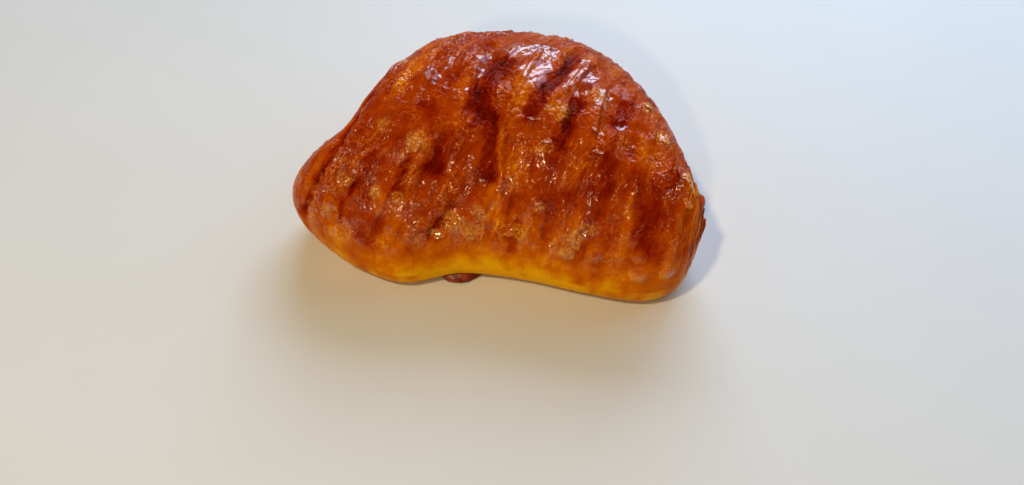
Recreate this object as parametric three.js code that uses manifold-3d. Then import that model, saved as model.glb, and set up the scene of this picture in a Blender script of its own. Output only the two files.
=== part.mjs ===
// A glazed chocolate pastry: a half-moon of folded, layered dough that lies on
// its flat underside, with a tongue of chocolate coming out of the seam under
// its front edge. Millimetres, +Z up. X runs along the pastry, Y from the wavy
// front edge to the arched back, and the origin is under the middle of it.

import * as THREE from "three";
import { mergeVertices } from "three/addons/utils/BufferGeometryUtils.js";
import Module from "manifold-3d";

// ---- Ways to write the tables below ----------------------------------------

// A section across a body. front and back: the widest places of the side in
// plan; heights: of the front rim, the back rim, the crest and the underside;
// lean: place of the crest from front 0 to back 1; rings: steps to the next one.
function section(front, back, [frontRim, backRim, crest, base], lean, rings) {
  return { front, back, frontRim, backRim, crest, base, lean, rings };
}

// A single fold along a path of x, y and height: a ridge if its own height is
// positive, a groove if it is negative.
function fold(halfWidth, height, ...path) {
  return { path, halfWidth, height };
}

// A round swelling or dent around a place.
function spot(at, radius, height) {
  return { at, radius, height };
}

// ---- Dough -----------------------------------------------------------------

// From the narrow left tip to the blunt right end.
const DOUGH_SECTIONS = [
  section([-69.5, -13.5], [-69.5, -13.5], [15, 15, 15, 15], 0.5, 3),
  section([-67.5, -18.5], [-69, -9], [14, 15, 21, 8], 0.5, 4),
  section([-62.5, -24], [-65.5, -4], [13, 15, 28, 3], 0.51, 5),
  section([-54.5, -30.2], [-59, -0.5], [12, 16, 35, 0], 0.54, 7),
  section([-45.5, -36], [-48.3, 6.5], [10.5, 18, 41, 0], 0.56, 11),
  section([-31, -40.7], [-34.3, 32], [9, 21, 47.5, 0], 0.57, 11),
  section([-12, -37], [-15, 45], [9, 24, 51, 0], 0.56, 11),
  section([8, -39.5], [7, 45.5], [9, 24, 52, 0], 0.56, 11),
  section([27, -44.5], [27, 41.5], [9, 24, 51, 0], 0.55, 11),
  section([44, -48], [45.5, 27], [9.5, 22, 48, 0], 0.54, 9),
  section([54.5, -46.5], [57, 3], [11, 20, 43, 0], 0.52, 8),
  section([60.5, -42], [61.8, -14.5], [13, 19, 37, 1], 0.51, 7),
  section([64.5, -35], [64.8, -23.5], [16, 18, 29, 5], 0.48, 5),
  section([66.8, -29.5], [66.8, -29.5], [19, 19, 19, 19], 0.5, 0),
];
const DOUGH_LAP = { top: 34, curve: 4, flat: 4 };
const DOUGH_UNDER_INSET = 5;
const WIDEST_INSET_SHARE = 0.35;
const TOP_SQUARENESS = 0.92;
const TOP_FULLNESS = 0.9;

// ---- Relief of the crust ---------------------------------------------------

// The dough is folded like a fan: its folds point at one far-off place behind
// the right end, and waver on their way.
const FAN = { apex: [244, 475], radius: 540, middleAngle: 0.475 };
const WAVERS = [
  { height: 1.5, lengthX: 29, lengthY: 13, phase: 0 },
  { height: 0.8, lengthX: Infinity, lengthY: 6.1, phase: 1.3 },
];

// Leaves of uneven width lie across the fan, each rising to an edge and dropping
// off it. Along the folds each leaf swells and fades on its own.
const LEAVES = { first: -84, last: 84, narrowest: 6, widest: 13, edge: 2.4, lowest: 0.45, highest: 1.2 };
const LEAF_RISE = { power: 1.3, sunk: 0.4 };
const LEAF_FADE = { mean: 0.65, swing: 0.35, length: 11, turnPerLeaf: 2.4 };
const LEAF_HEIGHT_DRAW = 40;

// Broad unevenness of the whole.
const LUMP_HEIGHT = 0.7;
const COARSE_LUMPS = { lengthX: 7, lengthY: 7.5, phaseX: 0.7, phaseY: -0.4 };
const CROSS_LUMPS = { lengthX: 21, lengthY: 12.4, phase: 2 };

// Where the outermost leaf at the left ends, from the back to the left tip.
const LEFT_EDGE = [
  [-37, 20, 40],
  [-40.5, 12, 40],
  [-46, 0.5, 39],
  [-50.5, -11, 39],
  [-56, -20, 33.5],
  [-63.5, -22.5, 20],
];

// Single folds that stand out.
const FOLDS = [
  fold(3.6, -1.7, [-3, 24, 49], [-3, 17, 51], [-6.5, -5.5, 50], [-2, -10.5, 48.5], [-3, -26, 38]),
  fold(3, -1.3, [26, 22, 48], [17, 5, 52], [11, -4, 51], [9, -11.5, 49]),
  fold(2.4, -1.1, [26, 1, 51], [20, -17, 47.5], [17.5, -22.5, 44]),
  fold(1.8, -1.2, ...LEFT_EDGE),
  fold(1.8, -1.1, [-44.5, -23.5, 37], [-54, -29.5, 22.5]),
  fold(1.8, -0.9, [-36, 5, 47], [-41.5, -4, 43]),
  fold(2.8, -1.4, [-15, -13.5, 46.5], [-20.5, -22.5, 41], [-25.5, -28.5, 36]),
  fold(2.2, -1.6, [-4, -23.5, 40], [-12.5, -30, 31.5], [-20, -35.5, 22.5]),
  fold(3, -1.2, [6, -27.5, 37.5], [7, -34.5, 27.5]),
  fold(2.6, -1.2, [20, -29.5, 39], [15.5, -37.5, 25.5]),
  fold(1.6, -1.1, [31.5, -36, 35], [25.5, -39.5, 26.5], [22, -42, 16]),
  fold(4, -1, [44.5, -31.5, 41.5], [46, -39.5, 34.5], [45, -45.5, 23.5]),
  fold(3, -1, [38.5, -4.5, 49.5], [36, -11, 49]),
  fold(3, -0.9, [44, -13, 47], [41, -21, 47]),
  fold(1.2, 1.2, [-13, 33, 46], [-18, 21, 49], [-24, 7, 50], [-27, 0, 50]),
  fold(1.2, 1.1, [-10, 34, 45], [-16, 17, 50], [-22, 4, 50]),
  fold(1.6, 0.9, [2, -10.5, 49], [1, -24.5, 40], [-4.5, -31, 30.5]),
  fold(1.5, 0.6, [-27.5, -20.5, 42.5], [-32, -28, 37]),
  fold(1.5, 0.7, [40.5, -39.5, 33], [38.5, -43.5, 25]),
];
const FOLD_REACH = 1.4;
const HOLLOWS = [
  spot([0, 14, 52], 8, -1.1),
  spot([2, 6, 52], 7, -0.8),
  spot([47, -37, 37.5], 7, -0.7),
  spot([37, -12, 49], 6, -0.6),
  spot([-18.5, -21.5, 41.5], 6, -0.6),
];

// The outermost leaf at the left laps over the rest and ends in an edge.
const LEFT_FLAP = { path: LEFT_EDGE, edge: 1.6, reach: 22, height: 1.1 };

// Air blisters under the glaze and scales of crust that have lifted.
const BLISTERS = [
  spot([31, -42.5, 22.5], 4.2, 1),
  spot([44, -47, 18.5], 4.4, 1),
  spot([53, -46, 19], 4.2, 0.9),
  spot([43.5, -44.5, 24.5], 3.5, 0.6),
  spot([-52.5, -27, 29], 4.2, 0.7),
  spot([-25, -15.5, 45.5], 8, 0.8),
  spot([24, -38, 29], 7.2, 0.9),
  spot([56.5, -27.5, 41.5], 8.8, 0.9),
  spot([50.5, -16, 46], 7.2, 0.7),
];

// The blunt right end shows the edges of the layers, stepping inwards from these
// sections on, and the corners of two layers stick out with a notch between.
const LAYER_EDGES = { frontStart: 9.7, backStart: 11.2, steps: 5, depth: 0.55 };
const END_CORNERS = [
  spot([67, -27.5, 22], 6, 1.1),
  spot([64.5, -28, 31], 4.5, 1.3),
  spot([66, -27.5, 27], 3.5, -0.9),
];

// How strongly the folds show: less at the rims than on top, where the sine of
// the way over it reaches fullFrom; less and less at heights under the rims; and
// not at all at the tips, counted in sections.
const TOP_STRENGTH = { rim: 0.45, full: 1, fullFrom: 0.5 };
const SIDE_FADE = { goneAt: 3, fullAt: 14 };
const TIP_FADE = { leftTip: 0, leftFull: 2, rightFull: 11.5, rightTip: 13 };

// ---- Chocolate -------------------------------------------------------------

// From the tip that shows to the end in the dough.
const CHOCOLATE_SECTIONS = [
  section([-12.5, -38.4], [-12.5, -38.4], [1, 1, 1, 1], 0.5, 3),
  section([-8, -37], [-17.5, -37.2], [0.7, 0.8, 2.4, 0], 0.6, 4),
  section([-5, -34], [-19, -34.5], [0.7, 0.9, 3.4, 0], 0.6, 3),
  section([-4.5, -28], [-19.5, -28], [0.8, 0.8, 4.3, 0], 0.5, 5),
  section([-6, -12], [-18.5, -12], [0.8, 0.8, 4.4, 0], 0.5, 5),
  section([-8, 3], [-17, 3], [0.8, 0.8, 3.8, 0], 0.5, 3),
  section([-10, 6], [-15, 6], [0.8, 0.8, 2.8, 0], 0.5, 3),
  section([-12.5, 7], [-12.5, 7], [1, 1, 1, 1], 0.5, 0),
];
const CHOCOLATE_LAP = { top: 14, curve: 2, flat: 3 };
const CHOCOLATE_UNDER_INSET = 0.6;
const CHOCOLATE_NIBBLES = [spot([-13, -38.5, 1], 2.4, -0.8), spot([-7, -37, 1], 3.4, -0.9)];
const GAP = 0.3;
const POCKET_BOTTOM = -2;

const CRUST_LOOK = { color: 0xa6480f, roughness: 0.28, metalness: 0 };
const CHOCOLATE_LOOK = { color: 0x4a160a, roughness: 0.3, metalness: 0 };

// ---- Small mathematics -----------------------------------------------------

const clamp01 = (value) => Math.min(1, Math.max(0, value));

function smooth(from, to, value) {
  const share = clamp01((value - from) / (to - from));
  return share * share * (3 - 2 * share);
}

function signedPower(value, power) {
  return Math.sign(value) * Math.abs(value) ** power;
}

// A repeatable draw between 0 and 1 for a whole number: the part of a large,
// fast sine that is behind its decimal point.
const DRAW_SINE = { frequency: 12.9898, phase: 4.1, height: 43758.5453 };

function draw(index) {
  const wave = Math.sin(index * DRAW_SINE.frequency + DRAW_SINE.phase) * DRAW_SINE.height;
  return wave - Math.floor(wave);
}

// A smooth bell that is 1 in the middle and 0 from one reach outwards.
function bell(distance, reach) {
  const share = clamp01(1 - (distance / reach) ** 2);
  return share * share;
}

// Catmull-Rom interpolation of one number through a row of them.
function through(values, place) {
  const last = values.length - 1;
  const index = Math.min(Math.floor(place), last - 1);
  const share = place - index;
  const here = values[index];
  const next = values[index + 1];
  const before = index === 0 ? 2 * here - next : values[index - 1];
  const after = index + 1 === last ? 2 * next - here : values[index + 2];
  const square = 2 * before - 5 * here + 4 * next - after;
  const cube = 3 * here - before - 3 * next + after;
  return here + 0.5 * share * (next - before + share * (square + share * cube));
}

function sectionAt(sections, place) {
  const pick = (read) => through(sections.map(read), place);
  return {
    front: new THREE.Vector2(pick((s) => s.front[0]), pick((s) => s.front[1])),
    back: new THREE.Vector2(pick((s) => s.back[0]), pick((s) => s.back[1])),
    frontRim: pick((s) => s.frontRim),
    backRim: pick((s) => s.backRim),
    crest: pick((s) => s.crest),
    base: pick((s) => s.base),
    lean: pick((s) => s.lean),
  };
}

// ---- Lofted body with a flat underside that closes at both ends ------------

// One lap round a section: the top from front rim to back rim, the curve under
// the back rim, the flat base, and the curve up to the front rim again.
function lapSteps(lap) {
  const steps = [];
  const add = (part, count) => {
    for (let i = 0; i < count; i += 1) {
      steps.push({ part, share: i / count });
    }
  };
  add("top", lap.top);
  add("backCurve", lap.curve);
  add("flat", lap.flat);
  add("frontCurve", lap.curve);
  return steps;
}

// The place of every ring, counted in sections.
function ringPlaces(sections) {
  const places = [];
  sections.forEach(({ rings }, index) => {
    for (let i = 0; i < rings; i += 1) {
      places.push(index + i / rings);
    }
  });
  places.push(sections.length - 1);
  return places;
}

// Place across the section (0 front, 1 back) and height for one step of the lap.
function profilePoint(here, step, underInset) {
  const width = Math.max(here.front.distanceTo(here.back), Number.EPSILON);
  const inset = Math.min(underInset / width, WIDEST_INSET_SHARE);
  if (step.part === "top") {
    const angle = step.share * Math.PI;
    const across = 0.5 - 0.5 * signedPower(Math.cos(angle), TOP_SQUARENESS);
    const place = across + (here.lean - 0.5) * Math.sin(angle);
    const rim = here.frontRim + (here.backRim - here.frontRim) * place;
    return { place, height: rim + (here.crest - rim) * Math.sin(angle) ** TOP_FULLNESS };
  }
  if (step.part === "flat") {
    return { place: 1 - inset - (1 - 2 * inset) * step.share, height: here.base };
  }
  const turn = (step.share * Math.PI) / 2;
  if (step.part === "backCurve") {
    return {
      place: 1 - inset * (1 - Math.cos(turn)),
      height: here.base + (here.backRim - here.base) * (1 - Math.sin(turn)),
    };
  }
  return {
    place: inset * (1 - Math.sin(turn)),
    height: here.base + (here.frontRim - here.base) * (1 - Math.cos(turn)),
  };
}

function loftPoint(here, step, underInset) {
  const { place, height } = profilePoint(here, step, underInset);
  const plan = here.front.clone().lerp(here.back, place);
  return new THREE.Vector3(plan.x, plan.y, height);
}

// The points of a body ring by ring, each moved along its normal by the relief.
function loftRings(sections, lap, underInset, relief) {
  const steps = lapSteps(lap);
  const places = ringPlaces(sections);
  const plainRings = places.map((place) => {
    const here = sectionAt(sections, place);
    return steps.map((step) => loftPoint(here, step, underInset));
  });
  const lowest = Math.min(...sections.map(({ base }) => base));
  return plainRings.map((points, ringIndex) =>
    points.map((point, index) => {
      if (ringIndex === 0 || ringIndex === places.length - 1) {
        return point.clone();
      }
      const along = plainRings[ringIndex + 1][index].clone().sub(plainRings[ringIndex - 1][index]);
      const left = points[(index + steps.length - 1) % steps.length];
      const right = points[(index + 1) % steps.length];
      const normal = along.cross(right.clone().sub(left)).normalize();
      const moved = point.clone().addScaledVector(normal, relief(point, places[ringIndex], steps[index]));
      moved.z = Math.max(moved.z, lowest);
      return moved;
    }),
  );
}

// A closed geometry from rings whose first and last have shrunk to one point.
function closeRings(rings) {
  const count = rings[0].length;
  const bodyRings = rings.slice(1, -1);
  const ends = [rings[0][0], rings[rings.length - 1][0]];
  const positions = [...bodyRings.flat(), ...ends].flatMap((point) => [point.x, point.y, point.z]);
  const startPoint = bodyRings.length * count;
  const lastRing = startPoint - count;
  const indices = [];
  for (let i = 0; i < count; i += 1) {
    const next = (i + 1) % count;
    for (let ring = 0; ring < lastRing; ring += count) {
      indices.push(ring + i, ring + count + i, ring + count + next);
      indices.push(ring + i, ring + count + next, ring + next);
    }
    indices.push(startPoint, i, next);
    indices.push(startPoint + 1, lastRing + next, lastRing + i);
  }
  const geometry = new THREE.BufferGeometry();
  geometry.setAttribute("position", new THREE.Float32BufferAttribute(positions, 3));
  geometry.setIndex(indices);
  return geometry;
}

// ---- Relief functions: how far a point of the crust stands out -------------

// Distance from a point to a path of straight stretches, and the side of it in
// plan on which the point lies (1 to the right of the path's direction, -1 left).
function pathDistance(point, path) {
  const nearest = new THREE.Vector3();
  let best = { distance: Infinity, side: 0 };
  for (let i = 0; i + 1 < path.length; i += 1) {
    const from = new THREE.Vector3(...path[i]);
    const to = new THREE.Vector3(...path[i + 1]);
    new THREE.Line3(from, to).closestPointToPoint(point, true, nearest);
    const distance = nearest.distanceTo(point);
    if (distance < best.distance) {
      const turn = (to.x - from.x) * (point.y - from.y) - (to.y - from.y) * (point.x - from.x);
      best = { distance, side: -Math.sign(turn) };
    }
  }
  return best;
}

function leafEdges() {
  const edges = [LEAVES.first];
  while (edges[edges.length - 1] < LEAVES.last) {
    const width = LEAVES.narrowest + (LEAVES.widest - LEAVES.narrowest) * draw(edges.length);
    edges.push(edges[edges.length - 1] + width);
  }
  return edges;
}

const LEAF_EDGES = leafEdges();

function leafRelief(point) {
  const angle = Math.atan2(FAN.apex[0] - point.x, FAN.apex[1] - point.y);
  const waver = WAVERS.reduce((sum, wave) => {
    return sum + wave.height * Math.sin(point.y / wave.lengthY + point.x / wave.lengthX + wave.phase);
  }, 0);
  const across = (FAN.middleAngle - angle) * FAN.radius + waver;
  const index = LEAF_EDGES.findIndex((edge) => edge > across);
  if (index < 1) {
    return 0;
  }
  const width = LEAF_EDGES[index] - LEAF_EDGES[index - 1];
  const share = (across - LEAF_EDGES[index - 1]) / width;
  const drop = 1 - smooth(1 - LEAVES.edge / width, 1, share);
  const height = LEAVES.lowest + (LEAVES.highest - LEAVES.lowest) * draw(index + LEAF_HEIGHT_DRAW);
  const swing = Math.sin(point.y / LEAF_FADE.length + index * LEAF_FADE.turnPerLeaf);
  const fade = LEAF_FADE.mean + LEAF_FADE.swing * swing;
  return height * fade * (share ** LEAF_RISE.power * drop - LEAF_RISE.sunk);
}

// The mean of a coarse wave along and over the pastry and one across both.
function lumpRelief(point) {
  const along = Math.sin(point.x / COARSE_LUMPS.lengthX + COARSE_LUMPS.phaseX);
  const over = Math.cos(point.y / COARSE_LUMPS.lengthY + COARSE_LUMPS.phaseY);
  const cross = Math.sin(point.x / CROSS_LUMPS.lengthX + point.y / CROSS_LUMPS.lengthY + CROSS_LUMPS.phase);
  return (LUMP_HEIGHT * (along * over + cross)) / 2;
}

function foldRelief(point) {
  return FOLDS.reduce((sum, line) => {
    const { distance } = pathDistance(point, line.path);
    return sum + line.height * bell(distance, line.halfWidth * FOLD_REACH);
  }, 0);
}

function flapRelief(point) {
  const { distance, side } = pathDistance(point, LEFT_FLAP.path);
  const rise = smooth(-LEFT_FLAP.edge, LEFT_FLAP.edge, distance * side);
  return LEFT_FLAP.height * rise * bell(distance, LEFT_FLAP.reach);
}

function spotRelief(point, spots) {
  const centre = new THREE.Vector3();
  return spots.reduce((sum, { at, radius, height }) => {
    return sum + height * bell(centre.set(...at).distanceTo(point), radius);
  }, 0);
}

// The share of the way from front to back at which a step of the lap lies.
function wayBack(step) {
  if (step.part === "top") {
    return step.share;
  }
  return step.part === "backCurve" ? 1 : 0;
}

function layerEdgeRelief(place, step) {
  const start = LAYER_EDGES.frontStart + (LAYER_EDGES.backStart - LAYER_EDGES.frontStart) * wayBack(step);
  const end = DOUGH_SECTIONS.length - 1;
  const layers = clamp01((place - start) / (end - start)) * LAYER_EDGES.steps;
  return -LAYER_EDGES.depth * (layers - Math.floor(layers));
}

function foldStrength(point, step) {
  if (step.part === "top") {
    const share = smooth(0, TOP_STRENGTH.fullFrom, Math.sin(step.share * Math.PI));
    return TOP_STRENGTH.rim + (TOP_STRENGTH.full - TOP_STRENGTH.rim) * share;
  }
  return TOP_STRENGTH.rim * smooth(SIDE_FADE.goneAt, SIDE_FADE.fullAt, point.z);
}

function crustRelief(point, place, step) {
  if (step.part === "flat") {
    return 0;
  }
  const strength = foldStrength(point, step);
  const fromLeft = smooth(TIP_FADE.leftTip, TIP_FADE.leftFull, place);
  const fromRight = 1 - smooth(TIP_FADE.rightFull, TIP_FADE.rightTip, place);
  const leaves = leafRelief(point) + lumpRelief(point) + flapRelief(point);
  const folds = foldRelief(point) + spotRelief(point, HOLLOWS);
  const spots = spotRelief(point, BLISTERS) + spotRelief(point, END_CORNERS);
  const broad = (leaves + folds) * strength * fromLeft * fromRight;
  return broad + layerEdgeRelief(place, step) * strength + spots;
}

function nibbleRelief(point) {
  return spotRelief(point, CHOCOLATE_NIBBLES);
}

// ---- Solids ----------------------------------------------------------------

const wasm = await Module();
wasm.setup();

function toSolid(geometry) {
  const merged = mergeVertices(geometry);
  return new wasm.Manifold(
    new wasm.Mesh({
      numProp: 3,
      vertProperties: new Float32Array(merged.attributes.position.array),
      triVerts: new Uint32Array(merged.index.array),
    }),
  );
}

function toGeometry(solid) {
  const mesh = solid.getMesh();
  const geometry = new THREE.BufferGeometry();
  geometry.setAttribute("position", new THREE.Float32BufferAttribute(mesh.vertProperties, 3));
  geometry.setIndex(new THREE.Uint32BufferAttribute(mesh.triVerts, 1));
  return geometry;
}

// The chocolate's sections grown by the gap, with walls straight down through
// the underside of the dough. The two pointed ends move outwards instead.
function pocketSections() {
  const last = CHOCOLATE_SECTIONS.length - 1;
  return CHOCOLATE_SECTIONS.map((plain, index) => {
    const [frontX, frontY] = plain.front;
    const [backX, backY] = plain.back;
    if (index === 0 || index === last) {
      const outwards = index === 0 ? -GAP : GAP;
      return { ...plain, front: [frontX, frontY + outwards], back: [backX, backY + outwards] };
    }
    return {
      ...plain,
      front: [frontX + GAP, frontY],
      back: [backX - GAP, backY],
      crest: plain.crest + GAP,
      base: POCKET_BOTTOM,
    };
  });
}

function doughGeometry() {
  const whole = closeRings(loftRings(DOUGH_SECTIONS, DOUGH_LAP, DOUGH_UNDER_INSET, crustRelief));
  const pocket = closeRings(loftRings(pocketSections(), CHOCOLATE_LAP, 0, () => 0));
  return toGeometry(toSolid(whole).subtract(toSolid(pocket)));
}

function chocolateGeometry() {
  return closeRings(loftRings(CHOCOLATE_SECTIONS, CHOCOLATE_LAP, CHOCOLATE_UNDER_INSET, nibbleRelief));
}

// ---- Scene graph -----------------------------------------------------------

const pastry = new THREE.Mesh(doughGeometry(), new THREE.MeshStandardMaterial(CRUST_LOOK));
pastry.name = "pastry";

const chocolate = new THREE.Mesh(chocolateGeometry(), new THREE.MeshStandardMaterial(CHOCOLATE_LOOK));
chocolate.name = "chocolate";

const group = new THREE.Group();
group.add(pastry, chocolate);

// The middle of the whole in plan is brought over the origin.
const middle = new THREE.Box3().setFromObject(group).getCenter(new THREE.Vector3());
group.position.set(-middle.x, -middle.y, 0);

export default group;
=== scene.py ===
"""A glazed chocolate pastry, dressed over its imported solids.

The dough is a half-moon loft whose sections run from a narrow left tip to a
blunt right end. Its crust is that loft moved along its own normals by a relief:
fanned leaves, single folds, a flap, blisters, lifted scales and fine wrinkles.
Sizes are in millimetres and become metres where a mesh is made. The modelling
frame is the dough's own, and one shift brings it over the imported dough.
"""
import logging
import math
from dataclasses import dataclass, field
from enum import Enum
from typing import Any

import bpy
import numpy as np
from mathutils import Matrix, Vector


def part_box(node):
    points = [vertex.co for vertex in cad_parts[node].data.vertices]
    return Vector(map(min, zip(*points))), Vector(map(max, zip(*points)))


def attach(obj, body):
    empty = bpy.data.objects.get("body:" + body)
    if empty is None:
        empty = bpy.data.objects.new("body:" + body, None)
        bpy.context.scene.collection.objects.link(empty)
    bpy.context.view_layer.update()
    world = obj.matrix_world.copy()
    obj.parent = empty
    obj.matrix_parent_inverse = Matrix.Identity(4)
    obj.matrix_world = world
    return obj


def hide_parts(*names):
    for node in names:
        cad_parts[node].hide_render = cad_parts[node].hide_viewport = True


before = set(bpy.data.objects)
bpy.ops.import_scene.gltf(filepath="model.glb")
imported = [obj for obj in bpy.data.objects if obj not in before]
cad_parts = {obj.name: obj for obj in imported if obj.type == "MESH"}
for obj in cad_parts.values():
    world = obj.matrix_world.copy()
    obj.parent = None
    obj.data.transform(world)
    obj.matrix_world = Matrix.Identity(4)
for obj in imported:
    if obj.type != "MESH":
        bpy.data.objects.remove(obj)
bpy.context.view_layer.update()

LOG = logging.getLogger("pastry")
MM = 0.001


# ---- Small mathematics ------------------------------------------------------


def smooth(low: float, high: float, value: np.ndarray) -> np.ndarray:
    """Eases from 0 at low to 1 at high: 3s² - 2s³ of the share s between them.

    Args:
        low: value at which the result is 0; it may be the larger one.
        high: value at which the result is 1.
        value: numbers to ease.

    Returns:
        The eased shares.
    """
    share = np.clip((value - low) / (high - low), 0.0, 1.0)
    return share * share * (3.0 - 2.0 * share)


def bell(distance: np.ndarray, reach: float | np.ndarray) -> np.ndarray:
    """A bell that is 1 at distance 0 and 0 from reach on: (1 - (d / reach)²)².

    Args:
        distance: distances from the middle of the bell.
        reach: distance at which it has faded out.

    Returns:
        The bell's height at each distance.
    """
    share = np.clip(1.0 - (distance / reach) ** 2, 0.0, 1.0)
    return share * share


def signed_power(value: np.ndarray, power: float) -> np.ndarray:
    """Raises the size of each number to a power and keeps its sign."""
    return np.sign(value) * np.abs(value) ** power


def draw(index: np.ndarray) -> np.ndarray:
    """A repeatable draw in 0..1 for whole numbers: the fraction of a large sine."""
    wave = np.sin(np.asarray(index, float) * 12.9898 + 4.1) * 43758.5453
    return wave - np.floor(wave)


def scrambled(numbers: np.ndarray) -> np.ndarray:
    """Whole numbers with their bits mixed by shifts, exclusive ors and one product."""
    mixed = (numbers ^ (numbers >> 13)) * 1274126177
    return mixed ^ (mixed >> 16)


def noise(points: np.ndarray, wavelength: float | tuple[float, ...], seed: int) -> np.ndarray:
    """Gradient noise in about -1..1: slopes drawn at lattice corners, eased between.

    Each corner's whole-number place is scrambled once, and 16 of its bits give
    the slope along each axis.

    Args:
        points: coordinates, the last axis holding 2 or 3 of them.
        wavelength: size of a lattice cell, one for all axes or one for each.
        seed: picks another noise.

    Returns:
        One value for each point.
    """
    axes = points.shape[-1]
    factors = np.array([374761393, 668265263, 1440662683][:axes], np.int64)
    scaled = points / np.asarray(wavelength, float)
    corner = np.floor(scaled)
    share = scaled - corner
    eased = share * share * share * (share * (share * 6.0 - 15.0) + 10.0)
    place = corner.astype(np.int64) @ factors + seed * 974711
    total = np.zeros(points.shape[:-1])
    for code in range(2**axes):
        offset = [(code >> axis) & 1 for axis in range(axes)]
        bits = scrambled(place + int(factors @ offset))
        weight, rise = 1.0, 0.0
        for axis, side in enumerate(offset):
            slope = ((bits >> (16 * axis)) & 0xFFFF) / 32767.5 - 1.0
            rise = rise + slope * (share[..., axis] - side)
            weight = weight * (eased[..., axis] if side else 1.0 - eased[..., axis])
        total += weight * rise
    return np.clip(1.9 * total, -1.0, 1.0)


def layered_noise(points: np.ndarray, wavelength: float, seed: int, layers: int = 3) -> np.ndarray:
    """Sum of noises, each of half the wavelength and half the height of the last.

    Args:
        points: coordinates, the last axis holding 2 or 3 of them.
        wavelength: cell size of the coarsest layer.
        seed: picks another noise.
        layers: how many are summed.

    Returns:
        About -1..1 for each point.
    """
    total = np.zeros(points.shape[:-1])
    for layer in range(layers):
        total += 0.5**layer * noise(points, wavelength / 2**layer, seed + 31 * layer)
    return total / (2.0 - 0.5 ** (layers - 1))


# ---- Lofted bodies ----------------------------------------------------------


class Part(Enum):
    """The stretches of one lap round a section."""

    TOP = 0
    BACK_CURVE = 1
    FLAT = 2
    FRONT_CURVE = 3


@dataclass(frozen=True)
class Section:
    """One section across a body, in millimetres.

    front, back: the widest places of the side in plan, front_rim and back_rim
    their heights, crest: height of the top, base: height of the underside,
    lean: place of the top from front 0 to back 1.
    """

    front: tuple[float, float]
    back: tuple[float, float]
    front_rim: float
    back_rim: float
    crest: float
    base: float
    lean: float

    def row(self) -> list[float]:
        """The section's numbers in one row."""
        return [*self.front, *self.back, self.front_rim, self.back_rim, self.crest, self.base, self.lean]


@dataclass(frozen=True)
class Lap:
    """How many steps each stretch of a lap has."""

    top: int
    curve: int
    flat: int

    def steps(self) -> tuple[np.ndarray, np.ndarray]:
        """The stretch of every step, and its share of that stretch.

        Returns:
            Two rows, one number for each step.
        """
        counts = ((Part.TOP, self.top), (Part.BACK_CURVE, self.curve), (Part.FLAT, self.flat))
        counts += ((Part.FRONT_CURVE, self.curve),)
        parts = np.concatenate([np.full(count, part.value) for part, count in counts])
        shares = np.concatenate([np.arange(count) / count for _, count in counts])
        return parts, shares


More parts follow.
